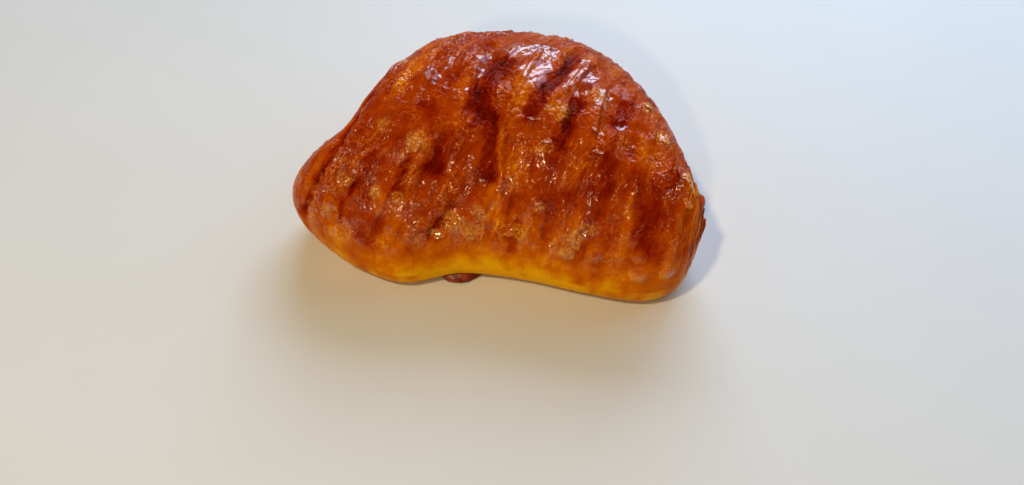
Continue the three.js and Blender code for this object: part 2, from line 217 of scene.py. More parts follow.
@dataclass(frozen=True)
class Loft:
    """A body with a flat underside, carried through sections, pointed at both ends.

    under_inset: how far the base lies inside the widest line, in millimetres.
    squareness and fullness shape the top: sine and cosine of the lap's angle
    are raised to them.
    """

    sections: tuple[Section, ...]
    lap: Lap
    rings: int
    under_inset: float
    squareness: float = 0.92
    fullness: float = 0.9
    widest_inset: float = 0.35

    def through(self, place: np.ndarray) -> np.ndarray:
        """Section numbers at places along the body, by Catmull-Rom through the rows.

        Args:
            place: places counted in sections.

        Returns:
            One row of section numbers for each place.
        """
        rows = np.array([section.row() for section in self.sections])
        last = len(rows) - 1
        index = np.clip(np.floor(place).astype(int), 0, last - 1)
        share = (place - index)[:, None]
        here, after = rows[index], rows[index + 1]
        before = np.where((index == 0)[:, None], 2 * here - after, rows[np.maximum(index - 1, 0)])
        beyond = np.where((index + 1 == last)[:, None], 2 * after - here, rows[np.minimum(index + 2, last)])
        square = 2 * before - 5 * here + 4 * after - beyond
        cube = 3 * here - before - 3 * after + beyond
        return here + 0.5 * share * (after - before + share * (square + share * cube))

    def places(self) -> np.ndarray:
        """Places of the rings, evenly spaced along the path that moves most.

        Returns:
            The places, counted in sections.
        """
        fine = np.linspace(0.0, len(self.sections) - 1.0, 4000)
        rows = self.through(fine)
        paths = (rows[:, 0:2], rows[:, 2:4], rows[:, 6:7])
        steps = np.max([np.linalg.norm(np.diff(path, axis=0), axis=1) for path in paths], axis=0)
        length = np.concatenate([[0.0], np.cumsum(steps)])
        return np.interp(np.linspace(0.0, length[-1], self.rings), length, fine)

    def surface(self, places: np.ndarray) -> np.ndarray:
        """Points of every ring, as an array of rings by steps by 3.

        On top the place across is half a cosine and the height a sine from rim
        to crest; under the rims a quarter ellipse runs in to the flat base.

        Args:
            places: places of the rings, counted in sections.

        Returns:
            The points in millimetres.
        """
        parts, shares = self.lap.steps()
        rows = self.through(places)
        front, back = rows[:, None, 0:2], rows[:, None, 2:4]
        front_rim, back_rim, crest, base, lean = (rows[:, None, k] for k in range(4, 9))
        base = np.maximum(base, 0.0)
        width = np.maximum(np.linalg.norm(back - front, axis=-1), 1e-9)
        inset = np.minimum(self.under_inset / width, self.widest_inset)
        angle = shares * math.pi
        across = 0.5 - 0.5 * signed_power(np.cos(angle), self.squareness)
        top = across + (lean - 0.5) * np.sin(angle)
        rim = front_rim + (back_rim - front_rim) * top
        top_height = rim + (crest - rim) * np.sin(angle) ** self.fullness
        turn = shares * math.pi / 2
        back_place = 1 - inset * (1 - np.cos(turn))
        back_height = base + (back_rim - base) * (1 - np.sin(turn))
        flat_place = 1 - inset - (1 - 2 * inset) * shares
        front_place = inset * (1 - np.sin(turn))
        front_height = base + (front_rim - base) * (1 - np.cos(turn))
        which = [parts == part.value for part in Part]
        place = np.select(which, [top, back_place, flat_place, front_place])
        height = np.select(which, [top_height, back_height, base + 0 * flat_place, front_height])
        return np.concatenate([front + (back - front) * place[..., None], height[..., None]], axis=-1)

    @staticmethod
    def normals(points: np.ndarray) -> np.ndarray:
        """Outward directions: the rings' direction crossed with the lap's.

        Args:
            points: rings by steps by 3.

        Returns:
            Unit vectors of the same shape; those of the two end points are 0.
        """
        along = np.zeros_like(points)
        along[1:-1] = points[2:] - points[:-2]
        around = np.roll(points, -1, axis=1) - np.roll(points, 1, axis=1)
        normal = np.cross(along, around)
        return normal / np.maximum(np.linalg.norm(normal, axis=-1, keepdims=True), 1e-12)

    @staticmethod
    def faces(rings: int, steps: int) -> tuple[np.ndarray, np.ndarray]:
        """Vertex indices of full rings that a single point closes at each end.

        Args:
            rings: number of full rings.
            steps: number of points in a lap.

        Returns:
            The quads between the rings, and the triangles at the two ends.
        """
        here = np.arange(steps)
        after = (here + 1) % steps
        start = (np.arange(rings - 1) * steps)[:, None]
        quads = np.stack([start + here, start + steps + here, start + steps + after, start + after], -1)
        first = rings * steps
        last_ring = (rings - 1) * steps
        tips = [
            np.stack([np.full(steps, first), here, after], -1),
            np.stack([np.full(steps, first + 1), last_ring + after, last_ring + here], -1),
        ]
        return quads.reshape(-1, 4), np.concatenate(tips)


# ---- Meshes -----------------------------------------------------------------


def make_mesh(
    name: str,
    points: np.ndarray,
    quads: np.ndarray,
    triangles: np.ndarray,
    marks: dict[str, np.ndarray] | None = None,
    normals: np.ndarray | None = None,
) -> bpy.types.Object:
    """Makes a smooth-shaded mesh object from whole arrays.

    Args:
        name: the object's name.
        points: vertices by 3, in metres.
        quads: vertex indices of the four-sided faces.
        triangles: vertex indices of the three-sided faces.
        marks: numbers for each vertex, stored as attributes by name.
        normals: a shading direction for each vertex, where pieces of one surface meet.

    Returns:
        The object, linked to the scene.
    """
    corners = np.concatenate([quads.ravel(), triangles.ravel()]).astype(np.int32)
    starts = np.concatenate([np.arange(len(quads)) * 4, len(quads) * 4 + np.arange(len(triangles)) * 3])
    mesh = bpy.data.meshes.new(name)
    mesh.vertices.add(len(points))
    mesh.vertices.foreach_set("co", points.astype(np.float32).ravel())
    mesh.loops.add(len(corners))
    mesh.loops.foreach_set("vertex_index", corners)
    mesh.polygons.add(len(starts))
    mesh.polygons.foreach_set("loop_start", starts.astype(np.int32))
    mesh.update(calc_edges=True)
    mesh.validate()
    mesh.polygons.foreach_set("use_smooth", np.ones(len(mesh.polygons), bool))
    for mark, values in (marks or {}).items():
        layer = mesh.attributes.new(mark, "FLOAT", "POINT")
        layer.data.foreach_set("value", values.astype(np.float32).ravel())
    if normals is not None:
        mesh.normals_split_custom_set_from_vertices(normals.astype(np.float32))
    piece = bpy.data.objects.new(name, mesh)
    bpy.context.scene.collection.objects.link(piece)
    return piece


def close_rings(values: np.ndarray, first: int, last: int) -> np.ndarray:
    """Rings first to last of a loft's grid in face order, with one closing value each end.

    Args:
        values: rings by steps, with or without a last axis of coordinates.
        first: number of the first full ring.
        last: number of the last full ring.

    Returns:
        The rings' values in one row, then the mean of the ring at each closed
        end. Next to the body's own tip that ring is the tip.
    """
    ends = [values[0 if first == 1 else first], values[-1 if last == len(values) - 2 else last]]
    closing = [end.mean(axis=0, keepdims=True) for end in ends]
    return np.concatenate([values[first : last + 1].reshape(-1, *values.shape[2:]), *closing])


# ---- The crust's relief -----------------------------------------------------


Path = tuple[tuple[float, float, float], ...]


@dataclass(frozen=True)
class FoldLine:
    """A single fold over the crust: a ridge if its height is positive, else a groove."""

    path: Path
    half_width: float
    height: float


@dataclass(frozen=True)
class Spot:
    """A round swelling or dent of the crust."""

    at: tuple[float, float, float]
    radius: float
    height: float


def path_distance(points: np.ndarray, path: Path) -> tuple[np.ndarray, np.ndarray]:
    """Distance from each point to a path of straight stretches, and its side.

    Args:
        points: coordinates, the last axis holding 3 of them.
        path: the path's corners.

    Returns:
        The distances, and 1 to the right of the path's direction in plan, -1 left.
    """
    best = np.full(points.shape[:-1], np.inf)
    side = np.zeros(points.shape[:-1])
    for start, end in zip(path[:-1], path[1:]):
        origin, run = np.array(start), np.array(end) - np.array(start)
        share = np.clip(((points - origin) @ run) / (run @ run), 0.0, 1.0)
        distance = np.linalg.norm(points - origin - share[..., None] * run, axis=-1)
        turn = run[0] * (points[..., 1] - origin[1]) - run[1] * (points[..., 0] - origin[0])
        side = np.where(distance < best, -np.sign(turn), side)
        best = np.minimum(distance, best)
    return best, side


@dataclass(frozen=True)
class Fan:
    """The fan of folds: they point at one far-off place behind the right end."""

    apex: tuple[float, float] = (244.0, 475.0)
    radius: float = 540.0
    middle_angle: float = 0.475

    def across(self, points: np.ndarray) -> np.ndarray:
        """Place across the fan in millimetres at the body's middle, wavering a little.

        Args:
            points: coordinates, the last axis holding 3 of them.

        Returns:
            One place for each point.
        """
        x, y = points[..., 0], points[..., 1]
        angle = np.arctan2(self.apex[0] - x, self.apex[1] - y)
        waver = 1.5 * np.sin(y / 13 + x / 29) + 0.8 * np.sin(y / 6.1 + 1.3)
        return (self.middle_angle - angle) * self.radius + waver


@dataclass
class Ground:
    """The smooth dough under the crust, and the coordinates that the relief is drawn on.

    parts, shares: the stretch of every step of the lap, and its share of it; places:
    of the rings; plain, normals: the smooth surface; height: over the underside;
    across: place across the fan; sheet: that and the length along the lap, both
    drifting with slow noises; wobble: three slow noises; ruffle: three finer ones, in
    millimetres; pace: millimetres from ring to ring and from step to step.
    """

    loft: Loft
    fan: Fan
    drift: tuple[tuple[float, float, int], ...] = ((2.2, 13.0, 60), (5.0, 16.0, 63))
    wobble_size: float = 6.0
    ruffle_size: float = 3.1
    ruffle_height: float = 1.1

    def __post_init__(self) -> None:
        """Works out every array once."""
        self.parts, self.shares = self.loft.lap.steps()
        self.places = self.loft.places()
        self.plain = self.loft.surface(self.places)
        self.normals = self.loft.normals(self.plain)
        self.height = self.plain[..., 2]
        self.across = self.fan.across(self.plain)
        drift = np.stack([far * noise(self.plain, size, seed) for far, size, seed in self.drift], axis=-1)
        self.sheet = np.stack([self.across, self.arc()], axis=-1) + drift
        self.wobble = self.noises(self.wobble_size, (70, 73, 76))
        self.ruffle = self.ruffle_height * self.noises(self.ruffle_size, (90, 93, 96))
        slopes = (np.gradient(self.plain, axis=axis) for axis in (0, 1))
        self.pace = tuple(np.linalg.norm(slope, axis=-1) + 1e-3 for slope in slopes)

    def arc(self) -> np.ndarray:
        """Length along the lap from the front rim, in millimetres."""
        steps = np.linalg.norm(np.diff(self.plain, axis=1), axis=-1)
        return np.concatenate([np.zeros((len(self.plain), 1)), np.cumsum(steps, axis=1)], axis=1)

    def noises(self, wavelength: float, seeds: tuple[int, ...]) -> np.ndarray:
        """Noises of one size over the smooth dough, one for each seed."""
        return np.stack([noise(self.plain, wavelength, seed) for seed in seeds], axis=-1)

    def on(self, part: Part) -> np.ndarray:
        """True for the steps on one stretch of the lap, as one row."""
        return (self.parts == part.value)[None, :]


@dataclass(frozen=True)
class Leaves:
    """Leaves of uneven width across the fan, each rising to an edge and dropping off it."""

    first: float = -84.0
    last: float = 84.0
    narrowest: float = 6.0
    widest: float = 13.0
    edge: float = 1.3
    lowest: float = 0.6
    highest: float = 1.6
    patch: float = 15.0

    def edges(self) -> np.ndarray:
        """Places of the leaves' edges across the fan.

        Returns:
            The places in millimetres, from first to last.
        """
        count = int((self.last - self.first) / self.narrowest) + 2
        widths = self.narrowest + (self.widest - self.narrowest) * draw(np.arange(1, count))
        edges = self.first + np.concatenate([[0.0], np.cumsum(widths)])
        return edges[: np.searchsorted(edges, self.last) + 1]

    def height(self, ground: Ground) -> tuple[np.ndarray, np.ndarray]:
        """Height of the leaves: the share across a leaf to the power 1.3, cut off at its edge.

        Each leaf swells and fades with a slow sine from front to back.

        Args:
            ground: the smooth dough.

        Returns:
            The height in millimetres, and the leaf's number.
        """
        edges, across = self.edges(), ground.across
        index = np.clip(np.searchsorted(edges, across, side="right"), 1, len(edges) - 1)
        width = edges[index] - edges[index - 1]
        share = np.clip((across - edges[index - 1]) / width, 0.0, 1.0)
        drop = 1.0 - smooth(0.0, 1.0, (share - 1 + self.edge / width) * width / self.edge)
        size = self.lowest + (self.highest - self.lowest) * draw(index + 40)
        fade = 0.65 + 0.35 * np.sin(ground.plain[..., 1] / 11 + index * 2.4)
        patches = 0.35 + 0.45 * smooth(-0.4, 0.5, noise(ground.plain, self.patch, 120))
        return size * fade * (share**1.3 * drop - 0.4) * patches, index


@dataclass(frozen=True)
class LayerEdges:
    """Edges of the layers at the blunt end, stepping inwards along the body.

    start, start_lean: place in sections where they begin at the front rim, and
    how much later they begin at the back rim.
    """

    start: float = 9.7
    start_lean: float = 1.5
    steps: int = 5
    depth: float = 0.5
    fine_steps: int = 14
    fine_depth: float = 0.2
    waver: float = 1.3

    def height(self, ground: Ground) -> tuple[np.ndarray, ...]:
        """Two saw-toothed falls towards the end, coarse layers and fine leaves of each.

        Args:
            ground: the smooth dough.

        Returns:
            The height in millimetres, the share of the fine tooth, and 1 inside.
        """
        end = float(len(ground.loft.sections) - 1)
        over = np.where(ground.on(Part.TOP), ground.shares[None, :], ground.on(Part.BACK_CURVE) * 1.0)
        start = self.start + self.start_lean * over
        share = np.clip((ground.places[:, None] - start) / (end - start), 0.0, 1.0)
        inside = smooth(0.0, 0.03, share)
        warp = ground.wobble[..., 0]
        coarse = share * self.steps + self.waver * 0.3 * warp * inside
        fine = share * self.fine_steps + self.waver * warp
        fine_share = fine - np.floor(fine)
        coarse_share = coarse - np.floor(coarse)
        uneven = 0.6 + 0.6 * np.abs(warp)
        fall = self.depth * coarse_share + self.fine_depth * uneven * fine_share
        return -fall * inside, fine_share * uneven * inside, inside


@dataclass(frozen=True)
class Pleats:
    """Rounded pleats with creases between them, stretched along the fan.

    across, along: their size over and along the folds, in millimetres.
    """

    across: float
    along: float
    height: float
    seed: int

    def swell(self, sheet: np.ndarray) -> np.ndarray:
        """0 in a crease to 1 on a pleat: the size of a noise, to the power 0.75."""
        size = np.abs(noise(sheet, (self.across, self.along), self.seed))
        return np.clip(size / 0.55, 0.0, 1.0) ** 0.75


@dataclass(frozen=True)
class TornSheet:
    """A paper-thin leaf of crust that covers the places where a noise is high.

    across, along: size of its lobes over and along the folds; cut: the noise
    from which it covers; step: its thickness; seed: picks its noise.
    """

    across: float
    along: float
    cut: float
    step: float
    seed: int
    ragged_size: float = 3.4
    raggedness: float = 0.5
    edge: float = 0.36

    def lay(self, ground: Ground) -> tuple[np.ndarray, np.ndarray]:
        """Lays the leaf: the noise over its slope is the distance inside its torn edge.

        Args:
            ground: the smooth dough.

        Returns:
            1 where the leaf covers, and 1 along its rim.
        """
        lobes = noise(ground.sheet, (self.across, self.along), self.seed)
        value = lobes + self.raggedness * layered_noise(ground.plain, self.ragged_size, self.seed + 7, 3)
        slope = np.hypot(*(np.gradient(value, axis=axis) / ground.pace[axis] for axis in (0, 1)))
        distance = (value - self.cut) / np.maximum(slope, 0.05)
        return smooth(-self.edge / 2, self.edge / 2, distance), bell(distance - 0.35, 0.5)


# Step from which a sheet shows its whole rim line, in millimetres.
THICK_SHEET = 0.2

TORN_SHEETS = (
    TornSheet(7.0, 26.0, 0.05, 0.26, 201),
    TornSheet(5.5, 19.0, -0.1, 0.22, 211),
    TornSheet(4.6, 15.0, 0.2, 0.2, 221),
    TornSheet(3.8, 11.0, 0.1, 0.15, 231),
    TornSheet(3.0, 7.5, 0.3, 0.12, 241),
)


def fold(half_width: float, height: float, *path: tuple[float, float, float]) -> FoldLine:
    """A single fold from its half width, its height and the corners of its path."""
    return FoldLine(path, half_width, height)


def spots(*rows: tuple[float, ...]) -> tuple[Spot, ...]:
    """Spots from rows of three coordinates, a radius and a height."""
    return tuple(Spot(row[:3], *row[3:]) for row in rows)


LEFT_EDGE = (
    (-37, 20, 40), (-40.5, 12, 40), (-46, 0.5, 39),
    (-50.5, -11, 39), (-56, -20, 33.5), (-63.5, -22.5, 20),
)

FOLDS = (
    fold(3.6, -1.7, (-3, 24, 49), (-3, 17, 51), (-6.5, -5.5, 50), (-2, -10.5, 48.5), (-3, -26, 38)),
    fold(3, -1.3, (26, 22, 48), (17, 5, 52), (11, -4, 51), (9, -11.5, 49)),
    fold(2.4, -1.1, (26, 1, 51), (20, -17, 47.5), (17.5, -22.5, 44)),
    fold(1.8, -1.2, *LEFT_EDGE),
    fold(1.8, -1.1, (-44.5, -23.5, 37), (-54, -29.5, 22.5)),
    fold(1.8, -0.9, (-36, 5, 47), (-41.5, -4, 43)),
    fold(2.8, -1.4, (-15, -13.5, 46.5), (-20.5, -22.5, 41), (-25.5, -28.5, 36)),
    fold(2.2, -1.6, (-4, -23.5, 40), (-12.5, -30, 31.5), (-20, -35.5, 22.5)),
    fold(3, -1.2, (6, -27.5, 37.5), (7, -34.5, 27.5)),
    fold(2.6, -1.2, (20, -29.5, 39), (15.5, -37.5, 25.5)),
    fold(1.6, -1.1, (31.5, -36, 35), (25.5, -39.5, 26.5), (22, -42, 16)),
    fold(4, -1, (44.5, -31.5, 41.5), (46, -39.5, 34.5), (45, -45.5, 23.5)),
    fold(3, -1, (38.5, -4.5, 49.5), (36, -11, 49)),
    fold(3, -0.9, (44, -13, 47), (41, -21, 47)),
    fold(1.2, 1.2, (-13, 33, 46), (-18, 21, 49), (-24, 7, 50), (-27, 0, 50)),
    fold(1.2, 1.1, (-10, 34, 45), (-16, 17, 50), (-22, 4, 50)),
    fold(1.6, 0.9, (2, -10.5, 49), (1, -24.5, 40), (-4.5, -31, 30.5)),
    fold(1.5, 0.6, (-27.5, -20.5, 42.5), (-32, -28, 37)),
    fold(1.5, 0.7, (40.5, -39.5, 33), (38.5, -43.5, 25)),
)

FINE_FOLDS = (
    fold(1.3, 1, (-4, 20, 51), (-7, 10, 51), (-7.5, -3, 51)),
    fold(1.3, 0.9, (14, 20, 51), (8, 4, 52), (4, -6, 51)),
    fold(1.3, 0.9, (30, 14, 50), (24, 4, 52), (18, -3, 52)),
    fold(1.2, -0.55, (-43, 7.5, 38.5), (-49.5, -1.5, 35), (-56, -11, 34)),
    fold(1.1, 0.6, (-38, 5, 46), (-44, -6, 43), (-48.5, -13, 39), (-52.5, -19.5, 35.5)),
    fold(0.9, 0.5, (-40, -9, 45), (-45.5, -16, 40)),
    fold(1.8, -0.9, (36, 0, 50), (34, -9, 50), (31.5, -17, 48)),
    fold(2, -0.9, (-15, -18, 44), (-20.5, -23.5, 40), (-23, -28, 36)),
    fold(0.9, 0.55, (5, -13, 48), (5, -24.5, 40.5), (3, -31.5, 31)),
    fold(1, 0.6, (-9, 20, 50), (-12, 8, 51)),
    fold(1.1, 0.6, (-20, 32, 45), (-30, 14, 48), (-33, 4, 48)),
    fold(1.4, -0.8, (41, 8, 47), (38, -6, 49)),
    fold(1.2, -0.7, (52, -5, 44), (49, -16, 46)),
    fold(0.9, -0.6, (56, -20, 42), (60, -29, 38)),
    fold(0.8, -0.6, (58, -17, 39), (62, -27, 36)),
)

BLISTERS = spots(
    (31, -42.5, 22.5, 3.7, 0.75), (44, -47, 18.5, 3.9, 0.75), (53, -46, 19, 3.6, 0.7),
    (43.5, -44.5, 24.5, 3.4, 0.4), (-52.5, -27, 29, 3.6, 0.4),
)

SWELLINGS = spots(
    (-25, -15.5, 45.5, 8, 0.8), (24, -38, 29, 7.2, 0.9),
    (56.5, -27.5, 41.5, 8.8, 0.9), (50.5, -16, 46, 7.2, 0.7),
)

HOLLOWS = spots(
    (0, 14, 52, 8, -1.1), (2, 6, 52, 7, -0.8), (47, -37, 37.5, 7, -0.7),
    (37, -12, 49, 6, -0.6), (-18.5, -21.5, 41.5, 6, -0.6),
)

END_CORNERS = spots(
    (67, -27.5, 22, 6, 1.1), (64.5, -28, 31, 4.5, 1.3), (66, -27.5, 27, 3.5, -0.9),
)

TAN_PATCHES = spots(
    (-25, -15.5, 45.5, 5, 1), (-47.5, -23, 36.5, 4, 1), (-37.5, -27.5, 36, 4, 0.9),
    (-30.5, -29.5, 35.5, 3.5, 0.8), (-13.5, -32.5, 27, 5.5, 1), (-8.5, -34, 23, 4.5, 0.9),
    (-18.5, -35, 23, 4, 0.7), (24, -39, 27.5, 4.5, 1), (22, -41, 21.5, 4, 1),
    (27.5, -38, 30.5, 4, 1), (7, -35.5, 25, 5, 0.7), (51, -15, 46, 6.5, 0.7),
    (48, -3, 47, 6, 0.6), (19, -8, 51, 6.5, 0.6), (14, -19, 46, 4.5, 0.6),
    (32, -1, 50, 6, 0.5), (-36, -8, 47, 5, 0.5), (-54, -27.5, 27, 3.5, 0.6),
    (13, -32, 33.5, 3.5, 0.6), (-5, -31.5, 29.5, 4.5, 0.7), (-33, 22, 44, 6, 0.5),
    (30, 20, 47, 5, 0.5),
)

# Streaks of the tone: those with positive heights are painted shade along the creases, hollows and the flap's
# edge; those with negative heights are paler golden streaks.
SHADES = (
    fold(4.5, 0.4, (2, 14, 52), (-0.5, 8.5, 52), (-3, 3, 51.5), (-5, -3, 50.5), (-5.5, -7, 49.5)),
    fold(2.6, 0.3, (-1.5, -11, 48), (-2, -18, 44.5), (-2.5, -24.5, 39.5)),
    fold(3.2, 0.4, (25, 17, 50), (21, 9, 51.5), (16.5, 2.5, 51.5), (13.5, -3, 51.5), (11, -7.5, 50)),
    fold(3, 0.32, (25, -3.5, 51), (21.5, -11.5, 49.5), (19.5, -18.5, 47)),
    fold(1.5, 0.3, *LEFT_EDGE),
    fold(1.8, 0.3, (-44, -25, 37.5), (-47.5, -28.5, 32), (-51.5, -30.5, 24)),
    fold(3.5, 0.28, (-18.5, -20.5, 42), (-19.5, -23.5, 40)),
    fold(1.5, 0.25, (-14, -30, 31.5), (-15.5, -32, 29), (-18, -34, 25.5)),
    fold(4, 0.12, (10.5, -29.5, 36.5), (15.5, -32, 35), (21, -32, 36.5)),
    fold(5, 0.22, (44.5, -30, 42.5), (45.5, -37.5, 36.5), (46, -43.5, 27.5)),
    fold(3.5, 0.18, (-36, -34, 28.5), (-42.5, -35, 22.5)),
    fold(3, 0.2, (-21.5, -4.5, 49), (-18.5, -10, 47.5), (-18.5, -15.5, 45)),
    fold(3, 0.22, (41.5, -4, 49), (37.5, -10, 49)),
    fold(2.2, 0.25, (-28, -22, 42), (-30.5, -29, 36)),
    fold(2.5, 0.25, (34.5, -24.5, 45), (32.5, -33, 38.5)),
    fold(2, 0.25, (7, -34.5, 28), (4.5, -37.5, 18.5)),
    fold(1, -0.16, (1.5, -13, 48), (1, -23.5, 41), (0.5, -32, 30)),
    fold(2.5, -0.2, (-3, -27, 36), (-1.5, -30, 32.5), (0.5, -33, 28)),
    fold(4, -0.08, (-50, -31, 25), (-51, -32, 16.5)),
    fold(3.5, -0.14, (24.5, -35, 33.5), (20.5, -38, 27), (16, -40, 18)),
    fold(4, -0.1, (-8.5, -33.5, 25), (-13.5, -35, 21)),
    fold(4, -0.08, (-34, 24.5, 41), (-39.5, 14.5, 40.5)),
    fold(2.5, -0.12, (-36.5, -26.5, 38), (-36, -32, 32)),
    fold(2, -0.12, (41, -31.5, 41.5), (39, -41.5, 29.5), (38, -44, 23.5)),
    fold(3, -0.18, (7, -19, 45), (5.5, -27, 38)),
    fold(4, -0.07, (-25.5, 18.5, 48), (-31, 4.5, 48)),
    fold(4, -0.15, (58.5, -28.5, 40), (60, -38.5, 31)),
)

GLAZE_POOLS = spots(
    (0, 20, 51, 5, 1), (2, 16, 51.5, 5, 1), (7, 21, 51, 6, 1), (11.5, 23, 50.5, 5, 1),
    (9.5, 8.5, 52, 4.5, 1), (12.5, 5, 52, 5.5, 1), (16.5, 17.5, 51, 5, 1), (14.5, 11, 52, 5, 1),
    (18, 21, 50, 4, 0.8), (28, 16, 49.5, 4.5, 0.8), (25.5, 9, 51, 4.5, 1), (23, 5, 51.5, 4, 1),
    (19.5, 4.5, 51.5, 4, 0.8), (16.5, 1.5, 51.5, 3.5, 0.8), (29.5, 8.5, 50.5, 5, 1), (26, 1.5, 51, 4, 0.8),
    (34.5, 0.5, 50, 3.5, 0.9), (33, -3.5, 50, 3.5, 0.9), (-21, 9.5, 50, 4, 0.8), (-20, 6.5, 50, 4, 0.8),
    (-15, 15.5, 50.5, 3, 0.7), (-15.5, 12, 51, 3, 0.7), (-5, 17, 51.5, 3, 0.9), (-5.5, 11.5, 51.5, 3, 0.9),
    (-4.5, 7.5, 51.5, 3, 0.7), (-5, -8.5, 49, 3, 0.9), (-8.5, 1, 51, 3, 0.7), (-13, 0, 50.5, 2.5, 0.7),
    (11.5, -10.5, 49.5, 3.5, 0.7), (39, -11, 49, 4, 0.8), (36.5, -22, 46.5, 3, 0.8), (31, -15, 48.5, 3, 0.7),
)


@dataclass(frozen=True)
class Relief:
    """Everything by which the crust leaves the smooth dough, in millimetres."""

    fan: Fan = field(default_factory=Fan)
    leaves: Leaves = field(default_factory=Leaves)
    layer_edges: LayerEdges = field(default_factory=LayerEdges)
    folds: tuple[FoldLine, ...] = FOLDS
    fold_reach: float = 1.4
    flap_path: Path = LEFT_EDGE
    flap_edge: float = 0.9
    flap_reach: float = 22.0
    flap_height: float = 1.1
    lump_height: float = 0.7
    lump_length: tuple[float, float] = (21.0, 15.0)
    blisters: tuple[Spot, ...] = BLISTERS
    corners: tuple[Spot, ...] = END_CORNERS
    swellings: tuple[Spot, ...] = SWELLINGS
    fine_folds: tuple[FoldLine, ...] = FINE_FOLDS
    patches: tuple[Spot, ...] = TAN_PATCHES
    hollows: tuple[Spot, ...] = HOLLOWS
    shades: tuple[FoldLine, ...] = SHADES
    pools: tuple[Spot, ...] = GLAZE_POOLS
    broad_pleats: Pleats = Pleats(9.0, 42.0, 0.55, 51)
    pleats: Pleats = Pleats(4.2, 14.0, 0.24, 52)
    crumple_size: float = 4.4
    crumple_height: float = 0.46
    sheets: tuple[TornSheet, ...] = TORN_SHEETS
    rim_share: float = 0.6
    crinkle_size: float = 1.8
    crinkle_height: float = 0.26
    crumb_size: float = 1.3
    crumb_height: float = 0.34

    def crinkles(self, ground: Ground, cluster: np.ndarray) -> np.ndarray:
        """Fine wrinkles: a noise less twice its size, strongest in the clusters."""
        crinkle = layered_noise(ground.plain + ground.ruffle, self.crinkle_size, 99, 2)
        return self.crinkle_height * (crinkle - 2.0 * np.abs(crinkle) + 0.4) * (0.1 + 0.9 * cluster)

    def crumples(self, ground: Ground, pool: np.ndarray) -> np.ndarray:
        """Crumples of the wet skin: sharp ridges where a noise is 0, strongest in the pools."""
        crumple = layered_noise(ground.plain + 0.8 * ground.ruffle, self.crumple_size, 155, 2)
        return self.crumple_height * (0.5 - 1.7 * np.abs(crumple)) * (0.3 + 0.7 * pool)

    def crumbs(self, ground: Ground) -> np.ndarray:
        """Small crumbs by a fine noise."""
        return self.crumb_height * layered_noise(ground.plain + ground.ruffle, self.crumb_size, 103, 2)

    def lumps(self, points: np.ndarray) -> np.ndarray:
        """Broad unevenness: a product and a sum of slow sines in plan.

        Args:
            points: places on the crust.

        Returns:
            The height in millimetres.
        """
        x, y = points[..., 0], points[..., 1]
        length_x, length_y = self.lump_length
        coarse = np.sin(3 * x / length_x + 0.7) * np.cos(2 * y / length_y - 0.4)
        cross = np.sin((x + 1.7 * y) / length_x + 2)
        return self.lump_height * (0.5 * coarse + 0.5 * cross)

    def single_folds(self, points: np.ndarray, lines: tuple[FoldLine, ...]) -> np.ndarray:
        """Sum of single folds, each a bell across its line.

        Args:
            points: places on the crust.
            lines: the folds.

        Returns:
            The height in millimetres.
        """
        total = np.zeros(points.shape[:-1])
        for line in lines:
            distance, _ = path_distance(points, line.path)
            total += line.height * bell(distance, line.half_width * self.fold_reach)
        return total

    def streaks(self, points: np.ndarray, rag: np.ndarray) -> np.ndarray:
        """Darker and lighter streaks of the tone, each a bell with a ragged rim: the darker ones are painted
        shade, the lighter ones paler golden streaks.

        Args:
            points: places on the crust.
            rag: noise that roughens the rims.

        Returns:
            What the streaks add to the tone.
        """
        total = np.zeros(points.shape[:-1])
        for line in self.shades:
            distance, _ = path_distance(points, line.path)
            core = bell(distance, 1.3 * line.half_width * self.fold_reach)
            total += line.height * smooth(0.15, 1.2, core + rag * np.minimum(4.0 * core, 1.0))
        return total

    def flap(self, points: np.ndarray) -> tuple[np.ndarray, np.ndarray]:
        """The flap at the left end: its height, and 1 where it covers the rest.

        Args:
            points: places on the crust.

        Returns:
            The height in millimetres, and the cover.
        """
        distance, side = path_distance(points, self.flap_path)
        cover = smooth(-self.flap_edge, self.flap_edge, distance * side) * bell(distance, self.flap_reach)
        return self.flap_height * cover, cover

    def spots(self, points: np.ndarray, spots: tuple[Spot, ...]) -> np.ndarray:
        """Sum of round swellings, each a bell around its middle.

        Args:
            points: places on the crust.
            spots: the swellings.

        Returns:
            The sum at each point.
        """
        total = np.zeros(points.shape[:-1])
        for spot in spots:
            total += spot.height * bell(np.linalg.norm(points - np.array(spot.at), axis=-1), spot.radius)
        return total


# ---- The pastry -------------------------------------------------------------


def sections(*rows: tuple[float, ...]) -> tuple[Section, ...]:
    """Sections from rows: front x, y, back x, y, front rim, back rim, crest, base and lean."""
    return tuple(Section(row[0:2], row[2:4], *row[4:]) for row in rows)


DOUGH_SECTIONS = sections(
    (-69.5, -13.5, -69.5, -13.5, 15, 15, 15, 15, 0.5),
    (-67.5, -18.5, -69, -9, 14, 15, 21, 8, 0.5),
    (-62.5, -24, -65.5, -4, 13, 15, 28, 3, 0.51),
    (-54.5, -30.2, -59, -0.5, 12, 16, 35, 0, 0.54),
    (-45.5, -36, -48.3, 6.5, 10.5, 18, 41, 0, 0.56),
    (-31, -40.7, -34.3, 32, 9, 21, 47.5, 0, 0.57),
    (-12, -37, -15, 45, 9, 24, 51, 0, 0.56),
    (8, -39.5, 7, 45.5, 9, 24, 52, 0, 0.56),
    (27, -44.5, 27, 41.5, 9, 24, 51, 0, 0.55),
    (44, -48, 45.5, 27, 9.5, 22, 48, 0, 0.54),
    (54.5, -46.5, 57, 3, 11, 20, 43, 0, 0.52),
    (60.5, -42, 61.8, -14.5, 13, 19, 37, 1, 0.51),
    (64.5, -35, 64.8, -23.5, 16, 18, 29, 5, 0.48),
    (66.8, -29.5, 66.8, -29.5, 19, 19, 19, 19, 0.5),
)

